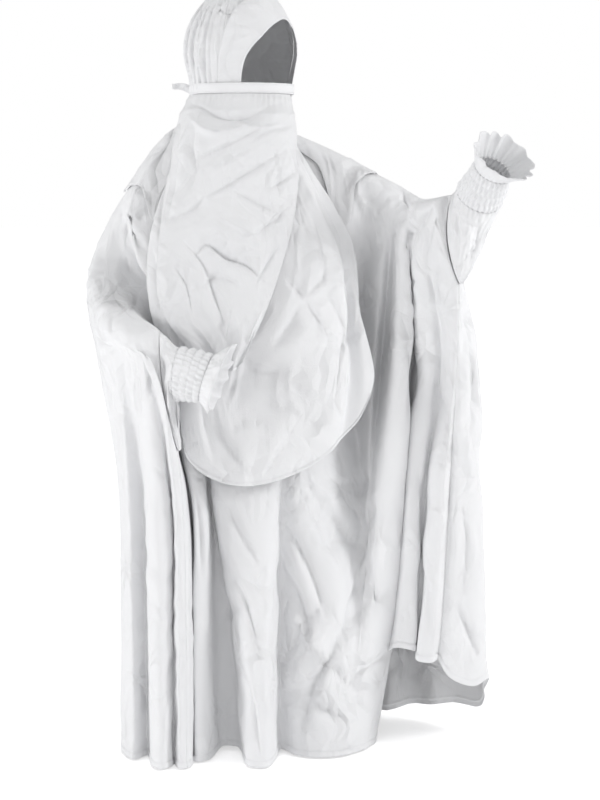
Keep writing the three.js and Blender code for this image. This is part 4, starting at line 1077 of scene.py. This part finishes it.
def rufflePoint(end, psi, t):
    sway = psi + 0.1 * np.sin(psi * 3 + 1) + 0.06 * np.sin(psi * 5)
    size = 0.35 + 1.1 * softNoise(psi * 2 + 30, psi * 0 + 3, 181)
    wave = np.cos(smocking["waves"] * sway + 0.8 * t)
    wave = wave * (1.25 - 0.25 * wave ** 2)
    curl = smocking["curl"] * np.sin(smocking["waves"] * sway + 0.8 * t) * t
    fineWave = np.cos(smocking["gathers"] * psi) * np.exp(-t / 0.35) * rampIn(t, 0, 0.06)
    edge = smocking["edge"] * np.cos(23 * psi + 2 * np.sin(psi * 4)) * t ** 2
    stretch = 1 + smocking["flare"] * t * wave * size + smocking["fineWave"] * fineWave + edge
    ring = ringBetween(end, 1, t)
    point = ringPoint(end, ring, psi, stretch, smocking["ahead"] * t * wave * size)
    return point + np.cross(unit(ring[1]), unit(point - ring[0])) * curl[..., None]


sleeveRightCreases = [  # depth, width, then x and z along it
    (6, 6, 475, 1200, 511, 1176, 559, 1202), (6, 6, 484, 1151, 518, 1142, 544, 1163),
    (5, 5, 500, 1232, 522, 1168, 501, 1099), (5, 5, 535, 1241, 539, 1200, 527, 1155),
    (4, 5, 484, 1099, 501, 1125, 523, 1120),
]
sleeveLeftCreases = [  # depth, width, then x and z along it
    (4, 5, -152, 896, -163, 854, -138, 790), (4, 5, -131, 811, -125, 758, -121, 721),
    (4, 5, -184, 886, -167, 832, -147, 768), (5, 5, -184, 913, -163, 892, -150, 858),
]
armCreases = {"left": sleeveLeftCreases, "right": sleeveRightCreases}
sleeve = {"wrinkle": (3.0, 191, 20, 80, 0.5), "fineWrinkle": (1.3, 195, 10, 36, -0.6), "crease": 1.3,
          "gather": 1.9, "gathered": 0.24, "around": 120, "down": 50}
armPieces = {}


def armPlaces(end, around, down):
    return np.meshgrid(steps(around * fine + 1, 0, 2 * np.pi)[:-1] * end["turn"], down, indexing="ij")


for side, end in armEnds.items():
    p, w = armPlaces(end, sleeve["around"], steps(sleeve["down"] * fine, 0.02, 0.997))
    grid = sleevePoint(end, p, w)
    relief = twoWrinkles(p * 60, w * 150, sleeve["wrinkle"], sleeve["fineWrinkle"])
    relief += creaseField(grid[..., 0], grid[..., 2], armCreases[side], 6, sleeve["crease"])
    gathers = np.cos(smocking["gathers"] * p + 2 * np.sin(3 * p)) * np.exp(-(1 - w) / sleeve["gathered"])
    relief = relief * rampIn(1 - w, 0.02, 0.3) + sleeve["gather"] * gathers
    clothPiece(f"sleeve_{side}", moved(grid, relief * rampIn(w, 0, 0.12), True), poplin,
               wrap=True)
    cuffDown = steps(smocking["cuffRows"] * fine + 4, 0.004, 0.996)
    cuffGrid = cuffPoint(end, *armPlaces(end, smocking["around"], cuffDown))
    clothPiece(f"cuff_{side}", cuffGrid, trimPoplin,
               wrap=True)
    ruffleDown = steps(smocking["ruffleRows"] * fine + 4, 0.008, 1.0)
    ruffleGrid = rufflePoint(end, *armPlaces(end, smocking["around"], ruffleDown))
    clothPiece(f"ruffle_{side}", ruffleGrid, trimPoplin,
               wrap=True)
    armPieces[side] = (cuffGrid, ruffleGrid)
print("arms done")


def stitchTree():
    # cut cylinders of thread, set at even steps along each line
    tree, given, out = newGroup("stitchRow", "GeometryNodeTree", {
        "Geometry": "Geometry", "Spacing": "Float", "Stitch Length": "Float", "Thread Radius": "Float",
        "Uneven": "Float", "Seed": "Int", "Material": "Material"}, {"Geometry": "Geometry"})
    path = addNode(tree, "GeometryNodeMeshToCurve", {"Mesh": given["Geometry"]})
    spaced = addNode(tree, "GeometryNodeResampleCurve",
                     {"Curve": path.outputs["Curve"], "Length": given["Spacing"]}, mode="LENGTH")
    stitch = addNode(tree, "GeometryNodeMeshCylinder",
                     {"Vertices": 4, "Radius": given["Thread Radius"], "Depth": given["Stitch Length"]})
    tangent = tree.nodes.new("GeometryNodeInputTangent").outputs["Tangent"]
    aim = addNode(tree, "FunctionNodeAlignRotationToVector", {"Vector": tangent}, axis="Z")
    smallest = mathNode(tree, "SUBTRACT", 1.0, given["Uneven"])
    size = addNode(tree, "FunctionNodeRandomValue", {2: smallest, 3: 1.0, "Seed": given["Seed"]})
    copies = addNode(tree, "GeometryNodeInstanceOnPoints",
                     {"Points": spaced.outputs["Curve"], "Instance": stitch.outputs["Mesh"],
                      "Rotation": aim.outputs["Rotation"], "Scale": size.outputs[1]})
    real = addNode(tree, "GeometryNodeRealizeInstances", {"Geometry": copies.outputs["Instances"]})
    paint = addNode(tree, "GeometryNodeSetMaterial",
                    {"Geometry": real.outputs["Geometry"], "Material": given["Material"]})
    tree.links.new(paint.outputs["Geometry"], out["Geometry"])
    return tree


stitchRow = stitchTree()


def stitches(name, lines, spacing, length):
    # lines: lists of points in millimetres, each sewn from end to end
    points, edges = [], []
    for line in lines:
        first = len(points)
        points.extend(toFrame(line).tolist())
        edges.extend((first + i, first + i + 1) for i in range(len(line) - 1))
    mesh = bpy.data.meshes.new(name)
    mesh.from_pydata(points, edges, [])
    carrier = bpy.data.objects.new(name + "Path", mesh)
    bpy.context.collection.objects.link(carrier)
    sewn = carrier.modifiers.new("stitches", "NODES")
    sewn.node_group = stitchRow
    wanted = {"Spacing": spacing / 1000, "Stitch Length": length / 1000, "Thread Radius": 0.0003,
              "Uneven": 0.15, "Seed": 4, "Material": thread}
    for item in stitchRow.interface.items_tree:
        if item.in_out == "INPUT" and item.name in wanted:
            sewn[item.identifier] = wanted[item.name]
    made = carrier.evaluated_get(bpy.context.evaluated_depsgraph_get())
    final = bpy.data.meshes.new_from_object(made)
    bpy.data.objects.remove(carrier)
    placed(name, final)
    print(f"{name}: {len(final.polygons)} faces")


def rowAbove(grid, inset, wrap=False, lift=0.25):
    # a line on the cloth's face, inset millimetres up from its last row
    up = np.cumsum(np.linalg.norm(grid[:, :0:-1] - grid[:, -2::-1], axis=-1), 1)
    out = normalsOf(grid, wrap)
    line = []
    for i in range(len(grid)):
        j = int(np.searchsorted(up[i], inset))
        j = min(j, up.shape[1] - 1)
        before = up[i, j - 1] if j else 0.0
        t = (inset - before) / max(1e-6, up[i, j] - before)
        a, b = grid[i, -1 - j], grid[i, -2 - j]
        line.append(a + (b - a) * min(1.0, t) + out[i, -2 - j] * lift)
    return np.array(line + line[:1] if wrap else line)


hemLines = [rowAbove(grid, robe["hemTurn"]) for grid in (frontGrid, backGrid)]
stitches("robe_hem_stitches", hemLines, 4.2, 3.0)
stitches("bib_stitches", [rowAbove(bibGrid, bib["hemTurn"])], 3.6, 2.6)
stitches("cape_stitches", [rowAbove(capeGrid, cape["hemTurn"])], 4.0, 2.8)
veilSide = rowAbove(np.swapaxes(veilGrid, 0, 1), 6)[2:]
stitches("veil_stitches", [rowAbove(veilGrid, veil["hemTurn"]), veilSide], 3.4, 2.5)
hoodLines = [rowAbove(bandGrid, 4, True), rowAbove(bandGrid, 19, True), rowAbove(faceGrid, 6, True)]
stitches("hood_stitches", hoodLines, 3.0, 2.2)
for side, (cuffGrid, ruffleGrid) in armPieces.items():
    elastic = np.round(steps(smocking["rows"] + 1, 1, cuffGrid.shape[1] - 2)).astype(int)
    lines = [np.concatenate([cuffGrid[:, j], cuffGrid[:1, j]]) for j in elastic]
    stitches(f"cuff_stitches_{side}", [*lines, rowAbove(ruffleGrid, 4, True)], 2.6, 1.9)
print("stitches done")

# the floor glows a little, so the paper stays white round a soft shadow
room = {
    "breadth": 80.0,
    "below": 0.0005,
    "floor": (0.88, 0.88, 0.885),
    "glow": 0.26,  # seen by the camera alone
    "lift": 0.26,
    "world": 0.64,
    "back": 1.0,
    "aim": (0.1, 0, -0.8),
}
bpy.ops.mesh.primitive_plane_add(size=room["breadth"], location=(0, 0, -hold[2] / 1000 - room["below"]))
floor = bpy.context.object
floor.name = "studio_floor"
paper = bpy.data.materials.new("studioPaper")
paper.use_nodes = True
paperTree = paper.node_tree
paperShader = paperTree.nodes["Principled BSDF"].inputs
paperShader["Base Color"].default_value = (*room["floor"], 1)
paperShader["Roughness"].default_value = 0.9
paperShader["Emission Color"].default_value = (1, 1, 1, 1)
seen = paperTree.nodes.new("ShaderNodeLightPath").outputs["Is Camera Ray"]
glow = mathNode(paperTree, "MULTIPLY", seen, room["glow"])
paperTree.links.new(mathNode(paperTree, "ADD", glow, room["lift"]), paperShader["Emission Strength"])
floor.data.materials.append(paper)

lamps = {
    "key": {"at": (4.6, -1.7, 1.5), "size": 1.2, "power": 104},
    "side": {"at": (-4.4, -2.0, -0.1), "size": 1.2, "power": 70},
}
for name, lamp in lamps.items():
    light = bpy.data.lights.new(name, "AREA")
    light.size = lamp["size"]
    light.energy = lamp["power"]
    lightObject = bpy.data.objects.new(name, light)
    bpy.context.collection.objects.link(lightObject)
    lightObject.location = lamp["at"]
    aim = np.array(room["aim"]) - np.array(lamp["at"])
    lightObject.rotation_euler = (math.acos(-aim[2] / np.linalg.norm(aim)), 0,
                                  math.atan2(aim[1], aim[0]) - math.pi / 2)
world = bpy.data.worlds.new("studio")
world.use_nodes = True
sky = world.node_tree
sky.nodes["Background"].inputs["Color"].default_value = (1, 1, 1, 1)
seen = sky.nodes.new("ShaderNodeLightPath").outputs["Is Camera Ray"]
level = mathNode(sky, "MULTIPLY", seen, room["back"] - room["world"])
sky.links.new(mathNode(sky, "ADD", level, room["world"]), sky.nodes["Background"].inputs["Strength"])
bpy.context.scene.world = world
bpy.context.scene.view_settings.view_transform = "Standard"
